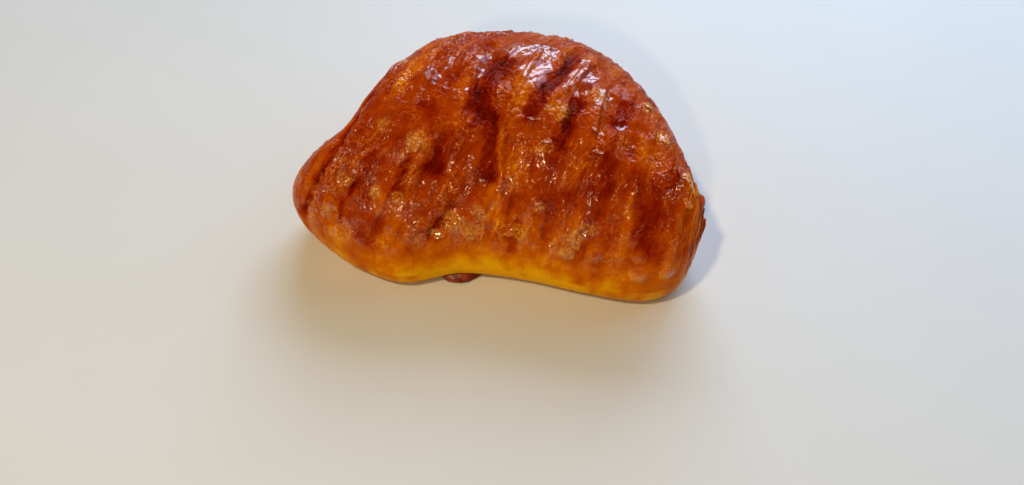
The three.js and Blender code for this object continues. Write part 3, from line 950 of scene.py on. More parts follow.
CHOCOLATE_SECTIONS = sections(
    (-12.5, -38.4, -12.5, -38.4, 1, 1, 1, 1, 0.5),
    (-8, -37, -17.5, -37.2, 0.7, 0.8, 2.4, 0, 0.6),
    (-5, -34, -19, -34.5, 0.7, 0.9, 3.4, 0, 0.6),
    (-4.5, -28, -19.5, -28, 0.8, 0.8, 4.3, 0, 0.5),
    (-6, -12, -18.5, -12, 0.8, 0.8, 4.4, 0, 0.5),
    (-8, 3, -17, 3, 0.8, 0.8, 3.8, 0, 0.5),
    (-10, 6, -15, 6, 0.8, 0.8, 2.8, 0, 0.5),
    (-12.5, 7, -12.5, 7, 1, 1, 1, 1, 0.5),
)


@dataclass(frozen=True)
class Leafing:
    """What the torn sheets add up to: their steps, raised rims, rim lines and tone."""

    steps: np.ndarray
    rims: np.ndarray
    edges: np.ndarray
    rim_line: np.ndarray
    tone: np.ndarray

    @classmethod
    def of(cls, sheets: tuple[TornSheet, ...], ground: Ground, rim_share: float) -> "Leafing":
        """Lays every sheet and sums it; thin sheets count less in the rim lines.

        Args:
            sheets: the torn sheets.
            ground: the smooth dough.
            rim_share: height of a raised rim as a share of its sheet's step.

        Returns:
            The sums.
        """
        laid = [(torn, *torn.lay(ground)) for torn in sheets]
        return cls(
            steps=sum(torn.step * (cover - 0.5) for torn, cover, _ in laid),
            rims=sum(torn.step * rim for torn, _, rim in laid) * rim_share,
            edges=np.max([rim for _, _, rim in laid], axis=0),
            rim_line=np.max([rim * min(torn.step / THICK_SHEET, 1.0) ** 2 for torn, _, rim in laid], axis=0),
            tone=sum((draw(torn.seed) - 0.35) * cover for torn, cover, _ in laid),
        )


@dataclass(frozen=True)
class Zones:
    """Where the crust is crisp, crumbly, wet or calm; heights and sizes in millimetres."""

    full_strength: float = 0.5
    side_strength: float = 0.45
    side_heights: tuple[float, float] = (3.0, 14.0)
    left_tip: tuple[float, float] = (0.0, 2.0)
    right_tip: tuple[float, float] = (11.5, 13.0)
    crisp_heights: tuple[float, float] = (13.0, 24.0)
    crisp_waver: float = 2.0
    crisp_patch: float = 11.0
    calm: float = 0.6
    calm_right: tuple[float, float] = (30.0, 46.0)
    calm_heights: tuple[float, float] = (45.0, 34.0)
    patch_rag: float = 2.6
    patch_cut: tuple[float, float] = (0.18, 0.6)
    cluster_size: float = 9.0
    cluster_streak: tuple[float, float] = (3.0, 9.0)
    cluster_cut: tuple[float, float] = (-0.25, 0.5)
    crumbly_size: float = 5.0
    crumbly_streak: tuple[float, float] = (2.0, 6.0)
    crumbly_cut: tuple[float, float] = (0.0, 0.35)
    pool_rag: float = 3.0
    pool_cut: tuple[float, float] = (0.3, 0.42)

    def strength(self, ground: Ground) -> np.ndarray:
        """Strength of the broad relief: full on top, less at the rims, none below.

        Args:
            ground: the smooth dough.

        Returns:
            0 to 1 for each point.
        """
        side = self.side_strength
        top = side + (1.0 - side) * smooth(0.0, self.full_strength, np.sin(ground.shares * math.pi)[None, :])
        return np.where(ground.on(Part.TOP), top, side * smooth(*self.side_heights, ground.height))

    def body(self, places: np.ndarray) -> np.ndarray:
        """1 along the body and 0 at the two tips, one row for each ring."""
        return (smooth(*self.left_tip, places) * (1.0 - smooth(*self.right_tip, places)))[:, None]

    def crisp(self, ground: Ground, cover: np.ndarray, layered: np.ndarray) -> np.ndarray:
        """Crispness: it starts some way up the side, and is less on the flap and the layers.

        Args:
            ground: the smooth dough.
            cover: 1 where the flap covers the rest.
            layered: 1 among the layers' edges.

        Returns:
            0 where the crust is smooth to 1 where it is crisp.
        """
        low_right = smooth(*self.calm_right, ground.plain[..., 0]) * smooth(*self.calm_heights, ground.height)
        crisp = smooth(*self.crisp_heights, ground.height + self.crisp_waver * ground.wobble[..., 1])
        crisp = crisp * (1.0 - self.calm * low_right) * (1.0 - self.calm * cover)
        patches = 0.55 + 0.45 * smooth(-0.5, 0.3, noise(ground.plain, self.crisp_patch, 80))
        return crisp * patches * (1.0 - 0.8 * layered)

    def tan(self, ground: Ground, patches: np.ndarray) -> np.ndarray:
        """1 on the pale dry patches, whose rims a noise makes ragged."""
        rag = 0.3 * layered_noise(ground.plain, self.patch_rag, 83, 2)
        return smooth(*self.patch_cut, np.clip(patches, 0.0, 1.2) + rag)

    def clusters(self, ground: Ground, tan: np.ndarray) -> np.ndarray:
        """1 where fine flaking gathers: two noises and the dry patches, cut."""
        streaks = 0.6 * noise(ground.sheet, self.cluster_streak, 143)
        return smooth(*self.cluster_cut, noise(ground.plain, self.cluster_size, 140) + streaks + 0.5 * tan)

    def pools(self, ground: Ground, spots: np.ndarray) -> np.ndarray:
        """1 where glaze lies in a pool with a ragged shore."""
        rag = 0.32 * layered_noise(ground.plain + ground.ruffle, self.pool_rag, 150, 2)
        return smooth(*self.pool_cut, np.clip(spots, 0.0, 1.0) + rag)

    def crumbly(self, ground: Ground, tan: np.ndarray, crisp: np.ndarray, pool: np.ndarray) -> np.ndarray:
        """Crumbliness: the dry patches and a cut noise on crisp crust, outside the pools.

        Args:
            ground: the smooth dough.
            tan: 1 on dry patches.
            crisp: crispness.
            pool: 1 in pools of glaze.

        Returns:
            0 to 1.
        """
        crumbs = noise(ground.plain, self.crumbly_size, 170)
        crumbs = crumbs + 0.5 * noise(ground.sheet, self.crumbly_streak, 173)
        return np.clip(tan + smooth(*self.crumbly_cut, crumbs) * crisp, 0.0, 1.0) * (1.0 - pool)


@dataclass(frozen=True)
class BakeAndShade:
    """How dark the crust is, 0 for pale to 1 for dark brown: what each mark adds or takes.

    front_band: heights between which the front turns from brown to pale; front_shares:
    shares of the top that belong to it; pale_middle, pale_reach: middle and half length
    of the palest stretch. Sizes of streaks are over and along the folds. All lengths
    are in millimetres. The groove and crease terms are painted shade: they darken the
    grooves, hollows and pleats' creases, and lighten the pleats a little.
    """

    base: float = 0.48
    streak: float = 0.13
    streak_size: tuple[float, float] = (6.0, 26.0)
    broad_streak: float = 0.07
    broad_streak_size: tuple[float, float] = (15.0, 60.0)
    patch: float = 0.08
    patch_size: float = 7.0
    lower_side: float = -0.16
    lower_heights: tuple[float, float] = (42.0, 14.0)
    # Painted shade: the crust is darker in the grooves and hollows, by their depth.
    groove: float = 0.1
    groove_depths: tuple[float, float] = (-0.3, -2.2)
    # Painted shade and light: darker in the pleats' creases, a little lighter on the pleats.
    crease_shade: float = 0.08
    broad_crease_shade: float = 0.05
    torn_leaf: float = 0.1
    torn_rim: float = -0.18
    leaf: float = 0.07
    flap: float = -0.07
    blister_ring: float = -0.1
    blister: float = -0.04
    end_layer: float = 0.1
    front_band: tuple[float, float] = (23.0, 2.0)
    front_shares: tuple[float, float] = (0.3, 0.1)
    pale_middle: float = -4.0
    pale_reach: float = 56.0
    under_heights: tuple[float, float] = (4.0, 0.5)
    shade_rag: tuple[float, float] = (1.6, 6.0)
    glint_heights: tuple[float, float] = (40.0, 47.0)
    dry_shade: tuple[float, float] = (0.22, 0.04)

    def pale(self, ground: Ground) -> np.ndarray:
        """1 low on the front's side, most about its middle.

        Args:
            ground: the smooth dough.

        Returns:
            0 to 1 for each point.
        """
        front_side = ground.on(Part.TOP) * smooth(*self.front_shares, ground.shares)
        front_side = np.clip(front_side + ground.on(Part.FRONT_CURVE), 0, 1)
        middle = bell(ground.plain[..., 0] - self.pale_middle, self.pale_reach)
        low = smooth(*self.front_band, ground.height + 1.5 * ground.wobble[..., 2])
        return low * front_side * (0.35 + 0.65 * middle)

    def under(self, ground: Ground) -> np.ndarray:
        """1 on the underside."""
        return np.where(ground.on(Part.TOP), 0.0, smooth(*self.under_heights, ground.height))

    def ground_tone(self, ground: Ground) -> np.ndarray:
        """The tone before any fold: streaks along the folds, patches, and a paler lower side.

        Args:
            ground: the smooth dough.

        Returns:
            The tone of each point.
        """
        tone = self.base + self.streak * noise(ground.sheet, self.streak_size, 110)
        tone = tone + self.broad_streak * noise(ground.sheet, self.broad_streak_size, 116)
        tone = tone + self.patch * layered_noise(ground.plain, self.patch_size, 113)
        return tone + self.lower_side * smooth(*self.lower_heights, ground.height)


@dataclass
class Crust:
    """The dough with its glazed crust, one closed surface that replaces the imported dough."""

    loft: Loft = field(default_factory=lambda: Loft(DOUGH_SECTIONS, Lap(460, 16, 12), 566, 5.0))
    relief: Relief = field(default_factory=Relief)
    zones: Zones = field(default_factory=Zones)
    bake_and_shade: BakeAndShade = field(default_factory=BakeAndShade)
    piece_names: tuple[str, ...] = ("crust_left", "crust_middle", "crust_right")
    points: np.ndarray = field(init=False)
    normals: np.ndarray = field(init=False)
    marks: dict[str, np.ndarray] = field(init=False)
    shift: np.ndarray = field(init=False)

    def grid_place(self, place: np.ndarray, share: np.ndarray) -> tuple[np.ndarray, np.ndarray]:
        """Ring and step numbers, with fractions, of places along and shares over the top."""
        return np.interp(place, self.loft.places(), np.arange(self.loft.rings)), share * self.loft.lap.top

    def grid_pace(self, ring: np.ndarray, step: np.ndarray) -> tuple[np.ndarray, np.ndarray]:
        """Millimetres from ring to ring and from step to step around a place.

        Args:
            ring: ring numbers.
            step: step numbers.

        Returns:
            The two lengths, each half of that to the second next.
        """
        here = self.sample(self.points, ring, step)
        next_ring = self.sample(self.points, ring + 2, step)
        next_step = self.sample(self.points, ring, step + 2)
        return np.linalg.norm(next_ring - here, axis=-1) / 2, np.linalg.norm(next_step - here, axis=-1) / 2

    @staticmethod
    def sample(values: np.ndarray, ring: np.ndarray, step: np.ndarray) -> np.ndarray:
        """Values of the grid between its points: straight between rings and between steps.

        Args:
            values: rings by steps, with a last axis.
            ring: ring numbers with fractions.
            step: step numbers with fractions.

        Returns:
            The values, with the same last axis.
        """
        ring = np.clip(ring, 0, values.shape[0] - 1.001)
        step = np.clip(step, 0, values.shape[1] - 1.001)
        low_ring, low_step = np.floor(ring).astype(int), np.floor(step).astype(int)
        along, over = (ring - low_ring)[..., None], (step - low_step)[..., None]
        first = values[low_ring, low_step] * (1 - over) + values[low_ring, low_step + 1] * over
        second = values[low_ring + 1, low_step] * (1 - over) + values[low_ring + 1, low_step + 1] * over
        return first * (1 - along) + second * along

    def shape(self) -> None:
        """Works out the crust's points, normals and the marks that its finish reads.

        Every relief is a height along the smooth dough's normal: the folds fade
        towards the rims and tips, and fine relief fades on the smooth lower sides.
        """
        ground, relief, zones = Ground(self.loft, self.relief.fan), self.relief, self.zones
        plain, strength, body = ground.plain, zones.strength(ground), zones.body(ground.places)
        bent = plain + 0.9 * ground.wobble
        leaf, leaf_number = relief.leaves.height(ground)
        grooves = relief.single_folds(bent, relief.folds)
        folds = grooves + relief.single_folds(plain + 0.5 * ground.wobble, relief.fine_folds)
        flap, cover = relief.flap(plain + 0.4 * ground.wobble)
        hollow = relief.spots(bent, relief.hollows)
        dome = relief.spots(plain + 0.3 * ground.wobble, relief.blisters)
        edge, tooth, layered = relief.layer_edges.height(ground)
        crisp = zones.crisp(ground, cover, layered)
        tan = zones.tan(ground, relief.spots(plain + 0.8 * ground.wobble, relief.patches))
        cluster = zones.clusters(ground, tan)
        pool = zones.pools(ground, relief.spots(plain + 0.5 * ground.ruffle, relief.pools))
        crumbly = zones.crumbly(ground, tan, crisp, pool)
        leafing = Leafing.of(relief.sheets, ground, relief.rim_share)
        broad_swell, swell = relief.broad_pleats.swell(ground.sheet), relief.pleats.swell(ground.sheet)

        pleated = relief.broad_pleats.height * (broad_swell - 0.5) + relief.pleats.height * (swell - 0.5)
        broad = leaf + relief.lumps(plain) + folds + flap + hollow + pleated * (0.35 + 0.65 * crisp)
        rise = broad * strength * body
        rise = rise + edge * strength + dome + relief.spots(plain, relief.swellings + relief.corners)
        fine = (leafing.steps + leafing.rims) * (0.5 + 0.5 * cluster) + relief.crinkles(ground, cluster)
        fine = fine * (1.0 - 0.6 * pool) + relief.crumples(ground, pool)
        rise = rise + fine * (0.12 + 0.88 * crisp) * body + relief.crumbs(ground) * (crumbly + 0.15 * crisp)
        rise = np.where(ground.on(Part.FLAT), 0.0, rise)
        self.points = plain + ground.normals * rise[..., None]
        self.points[..., 2] = np.maximum(self.points[..., 2], 0.0)
        self.normals = ground.normals

        bake_and_shade = self.bake_and_shade
        under = bake_and_shade.under(ground)
        # Painted shade: the dark streaks lie along the creases, hollows and the flap's edge; the negative
        # ones are paler golden streaks.
        rag = 0.35 * noise(ground.sheet, bake_and_shade.shade_rag, 160)
        shade = relief.streaks(bent + 0.7 * ground.ruffle, rag)
        tone = bake_and_shade.ground_tone(ground) + shade
        # Painted shade: darker in the grooves and hollows, by their depth.
        tone = tone + bake_and_shade.groove * smooth(*bake_and_shade.groove_depths, grooves + 1.2 * hollow)
        rim_tone = bake_and_shade.torn_rim * leafing.rim_line * (0.2 + 0.8 * cluster)
        # Painted shade and light: the crease term darkens the pleats' creases and lightens the pleats; the
        # sheets' tones and rims are the crust's own.
        tone = tone + (bake_and_shade.crease_shade * (0.7 - swell) + bake_and_shade.torn_leaf * leafing.tone + rim_tone) * crisp
        # Painted shade: darker in the broad pleats' creases; the leaf term differs at random.
        tone = tone + bake_and_shade.broad_crease_shade * (0.7 - broad_swell) + bake_and_shade.leaf * (draw(leaf_number + 90) - 0.5)
        tone = tone + bake_and_shade.flap * cover + bake_and_shade.end_layer * layered
        tone = tone + bake_and_shade.blister_ring * bell(dome - 0.14, 0.12) + bake_and_shade.blister * smooth(0.05, 0.3, dome)
        glint = crumbly + 0.8 * smooth(0.15, 0.4, dome) + 0.75 * leafing.edges * crisp * (0.2 + 0.8 * cluster)
        glint = glint * (1.0 - 0.75 * smooth(*bake_and_shade.glint_heights, ground.height))
        self.marks = {
            "tone": np.clip(tone, 0.0, 1.0),
            "pale": bake_and_shade.pale(ground),
            "under": under,
            "crisp": crisp * (0.25 + 0.75 * cluster),
            "tan": tan * (1.0 - under),
            "tooth": tooth,
            "glaze": np.clip(np.maximum(pool, glint) * smooth(*bake_and_shade.dry_shade, shade), 0.0, 1.0),
        }

    def build(self) -> list[bpy.types.Object]:
        """Makes the crust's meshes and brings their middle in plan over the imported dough's.

        The rings are dealt out to closed meshes side by side, whose surfaces meet
        with the same points and shading directions.

        Returns:
            The crust's objects from left to right.
        """
        self.shape()
        low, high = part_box("pastry")
        middle = (self.points.reshape(-1, 3).min(0) + self.points.reshape(-1, 3).max(0)) / 2
        target = (np.array(low) + np.array(high)) / 2 / MM
        self.shift = np.array([target[0] - middle[0], target[1] - middle[1], 0.0])
        shading = self.loft.normals(self.points)
        shading[0], shading[-1] = (-1.0, 0.0, 0.0), (1.0, 0.0, 0.0)
        last = len(self.points) - 2
        cuts = np.linspace(1, last, len(self.piece_names) + 1).astype(int)
        pieces = []
        for name, first, end in zip(self.piece_names, cuts[:-1], cuts[1:]):
            quads, triangles = Loft.faces(end - first + 1, self.points.shape[1])
            vertices = close_rings(self.points + self.shift, first, end) * MM
            marks = {mark: close_rings(values, first, end) for mark, values in self.marks.items()}
            facing = close_rings(shading, first, end)
            pieces.append(make_mesh(name, vertices, quads, triangles, marks, facing))
        return pieces


SEEN_FLAKES = (
    (10.09, 0.44, 7.5, 6, 0.3, 0.7, 0.55), (10.43, 0.42, 5, 4.6, -0.4, 0.6, 0.45),
    (10.31, 0.34, 5.6, 4, 0.5, 0.7, 0.6), (9.96, 0.25, 3.5, 7, 0.2, 0.3, 0.2),
    (7.86, 0.12, 4, 9, 0.1, 0.5, 0.75), (7.78, 0.08, 3.6, 6, 0.15, 0.4, 0.7),
    (8.06, 0.15, 5.4, 2.6, 0.3, 0.4, 0.8), (7.38, 0.33, 5, 2, 0.1, 0.75, 0.35),
    (7.18, 0.38, 4.6, 2, -0.1, 0.75, 0.35), (8.21, 0.34, 4.2, 2.1, 0.2, 0.75, 0.4),
    (8.16, 0.39, 3.6, 1.9, 0, 0.7, 0.35), (9.46, 0.49, 6, 4, 0.4, 0.5, 0.5),
    (9.19, 0.56, 5, 3.6, 0.6, 0.5, 0.4), (5.38, 0.33, 6.5, 5, 0.2, 0.4, 0.6),
    (4.01, 0.32, 4, 5, 0.3, 0.4, 0.5), (5.91, 0.12, 5, 6, -0.3, 0.4, 0.7),
    (6.17, 0.1, 3.6, 4.6, 0.2, 0.4, 0.6),
)


@dataclass
class Flakes:
    """Thin loose flakes lying on the crust: listed ones and small strewn ones.

    A flake is a row: place counted in sections, share over the top, size over and
    along the folds in millimetres, turn, how far its free side stands off the
    crust, and how pale and dry it is. strewn_ranges gives the least and the most of
    each for the strewn ones, and the power to which a draw is raised between them.
    """

    listed: tuple[tuple[float, ...], ...] = SEEN_FLAKES
    strewn: int = 110
    strewn_ranges: tuple[tuple[float, float, float], ...] = (
        (2.6, 10.2, 1), (0.06, 0.8, 1), (1, 2.6, 1), (1.4, 4.4, 1.5),
        (-0.6, 0.6, 1), (0.1, 0.4, 1), (0, 0.3, 2),
    )
    seed: int = 8
    spokes: int = 32
    hoops: int = 8
    corners: int = 6
    thickness: float = 0.12
    sunk: float = 0.3

    def rows(self, crust: Crust) -> np.ndarray:
        """All flakes as rows: the listed ones, then small ones where the crust is crisp.

        Args:
            crust: the crust that they lie on, already shaped.

        Returns:
            One row of flake numbers for each.
        """
        draws = np.random.default_rng(self.seed).random((self.strewn, 8))
        low, high, power = np.array(self.strewn_ranges).T
        row = low + (high - low) * draws[:, :-1] ** power
        ring, step = crust.grid_place(row[:, 0], row[:, 1])
        keep = crust.marks["crisp"][ring.astype(int), step.astype(int)] > 0.25 + 0.6 * draws[:, 7]
        return np.concatenate([np.array(self.listed), row[keep]])

    def outline(self, angle: np.ndarray, draws: np.ndarray) -> np.ndarray:
        """Reach of each flake's rim: the straight stretches between its drawn corners.

        Between two corners at the angles a and b with the reaches p and q, the rim
        at the angle t lies at p q sin(b - a) / (p sin(t - a) + q sin(b - t)).

        Args:
            angle: angles of the spokes, 1 by 1 by spokes.
            draws: draws in 0..1, flakes by two times the corners.

        Returns:
            The reach for each flake and spoke, about 0.6 to 1.15.
        """
        turn = 2 * math.pi
        jitter = 0.7 * (draws[:, : self.corners] - 0.5)
        places = (np.arange(self.corners) + 0.5 + jitter) * turn / self.corners
        reaches = 0.72 + 0.4 * draws[:, self.corners :]
        places = np.concatenate([places[:, -1:] - turn, places, places[:, :1] + turn], axis=1)
        reaches = np.concatenate([reaches[:, -1:], reaches, reaches[:, :1]], axis=1)
        spokes = angle[0, 0][None, :]
        index = (places[:, :, None] <= spokes[:, None, :]).sum(axis=1)
        low, high = (np.take_along_axis(places, index + step, axis=1) for step in (-1, 0))
        near, far = (np.take_along_axis(reaches, index + step, axis=1) for step in (-1, 0))
        rim = near * far * np.sin(high - low) / (near * np.sin(spokes - low) + far * np.sin(high - spokes))
        return rim[:, None, :]

    def build(self, crust: Crust) -> bpy.types.Object:
        """Makes the flakes' mesh, each a closed thin body bent along the crust.

        A flake is a disc of hoops and spokes with an uneven rim, laid on the
        crust's grid; its upper side lifts towards one side of the rim with the
        square of the share across, and its underside sinks in at the other.

        Args:
            crust: the crust that they lie on.

        Returns:
            The flakes' object.
        """
        rows = self.rows(crust)
        draws = np.random.default_rng(self.seed + 1).random((len(rows), 6, 1, 1)) * 2 * math.pi
        angle = (np.arange(self.spokes) * 2 * math.pi / self.spokes)[None, None, :]
        reach = ((np.arange(self.hoops) + 1.0) / self.hoops)[None, :, None]
        corner_draws = np.random.default_rng(self.seed + 2).random((len(rows), 2 * self.corners))
        rim = self.outline(angle, corner_draws) + 0.03 * np.sin(9 * angle + draws[:, 2])
        place, share, wide, long, turn, lift, tan = (rows[:, k, None, None] for k in range(7))
        over = reach * rim * np.cos(angle) * wide / 2
        up = reach * rim * np.sin(angle) * long / 2
        move = over * np.cos(turn) - up * np.sin(turn), over * np.sin(turn) + up * np.cos(turn)
        ring, step = crust.grid_place(place, share)
        pace = crust.grid_pace(ring, step)
        spot = ring + move[0] / pace[0], step + move[1] / pace[1]
        middle = ring[:, :, 0], step[:, :, 0]
        is_listed = (np.arange(len(rows)) < len(self.listed))[:, None, None]
        free_side = np.where(is_listed, -math.pi / 2, draws[:, 4])
        open_side = (1 + reach * np.cos(angle - free_side)) / 2
        crumple = 0.07 * np.sin(7 * reach + 3 * angle + draws[:, 5])
        crumple = crumple + 0.09 * noise(crust.sample(crust.points, *spot), 1.5, 133)
        top = 0.06 + self.thickness + lift * open_side**1.5 + crumple * reach
        bottom = np.where(open_side > 0.55, top - self.thickness, -self.sunk)
        under = [np.concatenate([a, b.reshape(len(rows), -1)], axis=1) for a, b in zip(middle, spot)]
        surface, normal = crust.sample(crust.points, *under), crust.sample(crust.normals, *under)
        sides = []
        for side in (top, bottom):
            rise = np.concatenate([side[:, 0].mean(1, keepdims=True), side.reshape(len(rows), -1)], axis=1)
            sides.append(surface + normal * rise[..., None])
        vertices = np.concatenate(sides, axis=1)
        marks = {mark: crust.sample(grid[..., None], *under)[..., 0] for mark, grid in crust.marks.items()}
        marks["tan"] = np.maximum(0.6 * marks["tan"], tan[:, 0] * (0.5 + 0.5 * noise(surface, 1.7, 130)))
        marks["tone"] = marks["tone"] - 0.04 - 0.1 * tan[:, 0]
        marks["glaze"] = np.maximum(marks["glaze"], 0.75)
        quads, triangles = self.faces(len(rows))
        both = {name: np.concatenate([values, values], axis=1).ravel() for name, values in marks.items()}
        return make_mesh("loose_flakes", (vertices.reshape(-1, 3) + crust.shift) * MM, quads, triangles, both)

    def faces(self, count: int) -> tuple[np.ndarray, np.ndarray]:
        """Vertex indices of all flakes: upper side, underside and rim of each.

        Args:
            count: number of flakes.

        Returns:
            The quads and the triangles.
        """
        spoke = np.arange(self.spokes)
        following = (spoke + 1) % self.spokes
        hoop = 1 + (np.arange(self.hoops - 1) * self.spokes)[:, None]
        side = 1 + self.spokes * self.hoops
        outer = hoop + self.spokes
        upper = np.stack([hoop + spoke, outer + spoke, outer + following, hoop + following], -1)
        last = side - self.spokes
        rim = np.stack([last + spoke, side + last + spoke, side + last + following, last + following], -1)
        quads = np.concatenate([upper.reshape(-1, 4), upper.reshape(-1, 4)[:, ::-1] + side, rim])
        fan = np.stack([np.zeros(self.spokes, int), 1 + spoke, 1 + following], -1)
        triangles = np.concatenate([fan, fan[:, ::-1] + side])
        start = (np.arange(count) * 2 * side)[:, None, None]
        return (quads + start).reshape(-1, 4), (triangles + start).reshape(-1, 3)


@dataclass
class ChocolateTongue:
    """The chocolate that comes out of the seam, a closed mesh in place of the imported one."""

    loft: Loft = field(default_factory=lambda: Loft(CHOCOLATE_SECTIONS, Lap(60, 4, 12), 150, 0.6))
    nibbles: tuple[Spot, ...] = (Spot((-13, -38.5, 1), 2.4, -0.8), Spot((-7, -37, 1), 3.4, -0.9))
    unevenness: float = 0.12

    def build(self, shift: np.ndarray) -> bpy.types.Object:
        """Makes the tongue's mesh: its loft, nibbled at the tip and slightly uneven.

        Args:
            shift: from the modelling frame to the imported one, in millimetres.

        Returns:
            The tongue's object.
        """
        plain = self.loft.surface(self.loft.places())
        parts, _ = self.loft.lap.steps()
        rise = Relief().spots(plain, self.nibbles)
        outside = smooth(-20.0, -30.0, plain[..., 1])
        rise = rise - self.unevenness * (1 + layered_noise(plain, 2.6, 41)) * outside
        rise = np.where((parts == Part.FLAT.value)[None, :], 0.0, rise)
        points = plain + self.loft.normals(plain) * rise[..., None]
        points[..., 2] = np.maximum(points[..., 2], 0.0)
        last = len(points) - 2
        quads, triangles = Loft.faces(last, points.shape[1])
        return make_mesh("chocolate_tongue", close_rings(points + shift, 1, last) * MM, quads, triangles)


# ---- Shader maths -----------------------------------------------------------


Settings = dict[str, Any]


class Value:
    """A socket of a material, on which the usual operators add Math nodes."""

    def __init__(self, shader: "Shader", socket: bpy.types.NodeSocket) -> None:
        """Wraps a socket of the shader's node tree."""
        self.shader = shader
        self.socket = socket

    def _math(self, operation: str, *numbers: "Value | float") -> "Value":
        """Adds a Math node over numbers or sockets."""
        return self.shader.node("ShaderNodeMath", {"operation": operation}, dict(enumerate(numbers)))

    def __add__(self, other: "Value | float") -> "Value":
        """self + other."""
        return self._math("ADD", self, other)

    __radd__ = __add__

    def __sub__(self, other: "Value | float") -> "Value":
        """self - other."""
        return self._math("SUBTRACT", self, other)

    def __rsub__(self, other: "Value | float") -> "Value":
        """other - self."""
        return self._math("SUBTRACT", other, self)

    def __mul__(self, other: "Value | float") -> "Value":
        """self * other."""
        return self._math("MULTIPLY", self, other)

    __rmul__ = __mul__

    def clamped(self) -> "Value":
        """self kept within 0..1."""
        return self._math("MINIMUM", self._math("MAXIMUM", self, 0.0), 1.0)

    def eased(self, low: float, high: float) -> "Value":
        """Smoothstep: 0 at low, 1 at high."""
        inputs = {"Value": self, "From Min": low, "From Max": high}
        return self.shader.node("ShaderNodeMapRange", {"interpolation_type": "SMOOTHSTEP"}, inputs)


class Shader:
    """A material under construction, around one Principled surface."""

    def __init__(self, name: str) -> None:
        """Starts a material with its Principled node alone.

        Args:
            name: the material's name.
        """
        self.material = bpy.data.materials.new(name)
        self.material.use_nodes = True
        self.tree = self.material.node_tree
        self.surface = self.tree.nodes["Principled BSDF"]

    def node(self, kind: str, settings: Settings, inputs: dict[Any, Any], output: int | str = 0) -> Value:
        """Adds a node: its settings first, then its sockets.

        Args:
            kind: the node's type.
            settings: attributes by name; "stops" are a ramp's places and colours.
            inputs: values or linked Values by socket name or number.
            output: the output socket that is returned.

        Returns:
            The wrapped output.
        """
        node = self.tree.nodes.new(kind)
        for name, value in settings.items():
            if name == "stops":
                self.set_stops(node.color_ramp, value)
            else:
                setattr(node, name, value)
        for key, value in inputs.items():
            self.feed(node.inputs[key], value)
        return Value(self, node.outputs[output])

    @staticmethod
    def set_stops(ramp: bpy.types.ColorRamp, stops: tuple[tuple[float, tuple[float, ...]], ...]) -> None:
        """Gives a ramp its stops, each a place and a linear colour.

        Args:
            ramp: the ramp of a node.
            stops: from the first to the last.
        """
        while len(ramp.elements) < len(stops):
            ramp.elements.new(1.0)
        for element, (place, colour) in zip(ramp.elements, stops):
            element.position = place
            element.color = (*colour, 1.0)

    def feed(self, socket: bpy.types.NodeSocket, value: Any) -> None:
        """Links a Value to a socket, or sets the socket to a number or colour.

        Args:
            socket: an input of a node.
            value: what it takes.
        """
        if isinstance(value, Value):
            self.tree.links.new(value.socket, socket)
        elif isinstance(value, tuple) and len(value) == 3 and socket.type == "RGBA":
            socket.default_value = (*value, 1.0)
        else:
            socket.default_value = value

    def finish(self, inputs: dict[str, Any]) -> bpy.types.Material:
        """Feeds the Principled surface and returns the material.

        Args:
            inputs: values or Values by the name of the socket.

        Returns:
            The finished material.
        """
        for name, value in inputs.items():
            self.feed(self.surface.inputs[name], value)
        return self.material

    def mark(self, name: str) -> Value:
        """A number stored on the mesh's vertices."""
        return self.node("ShaderNodeAttribute", {"attribute_name": name}, {}, "Fac")

    def place(self) -> Value:
        """Object coordinates, in metres."""
        return self.node("ShaderNodeTexCoord", {}, {}, "Object")

    def noise(self, size: float, detail: float = 3.0, roughness: float = 0.55, warp: float = 0.0) -> Value:
        """Noise in 0..1 whose largest feature is about size millimetres.

        Args:
            size: the largest feature, in millimetres.
            detail: number of finer layers.
            roughness: their strength.
            warp: how far the noise bends itself.

        Returns:
            The noise.
        """
        inputs = {"Vector": self.place(), "Scale": 1.0 / (size * MM), "Detail": detail}
        inputs.update({"Roughness": roughness, "Distortion": warp})
        return self.node("ShaderNodeTexNoise", {}, inputs, "Fac")

    def blend(self, share: Value | float, low: Any, high: Any) -> Value:
        """Mixes two colours."""
        inputs = {"Factor": share, 6: low, 7: high}
        return self.node("ShaderNodeMix", {"data_type": "RGBA"}, inputs, 2)

    def ramp(self, share: Value, *stops: tuple[float, tuple[float, ...]]) -> Value:
        """A colour ramp over a number."""
        return self.node("ShaderNodeValToRGB", {"stops": stops}, {"Fac": share}, "Color")

    def bump(self, height: Value, depth: float) -> Value:
        """A Bump node for a height of depth millimetres."""
        inputs = {"Height": height, "Strength": 1.0, "Distance": depth * MM}
        return self.node("ShaderNodeBump", {}, inputs, "Normal")


def linear(red: int, green: int, blue: int) -> tuple[float, float, float]:
    """A colour given in 0..255 of a screen, as linear light."""
    shares = [channel / 255 for channel in (red, green, blue)]
    return tuple(share / 12.92 if share <= 0.04045 else ((share + 0.055) / 1.055) ** 2.4 for share in shares)


# ---- Finishes ---------------------------------------------------------------


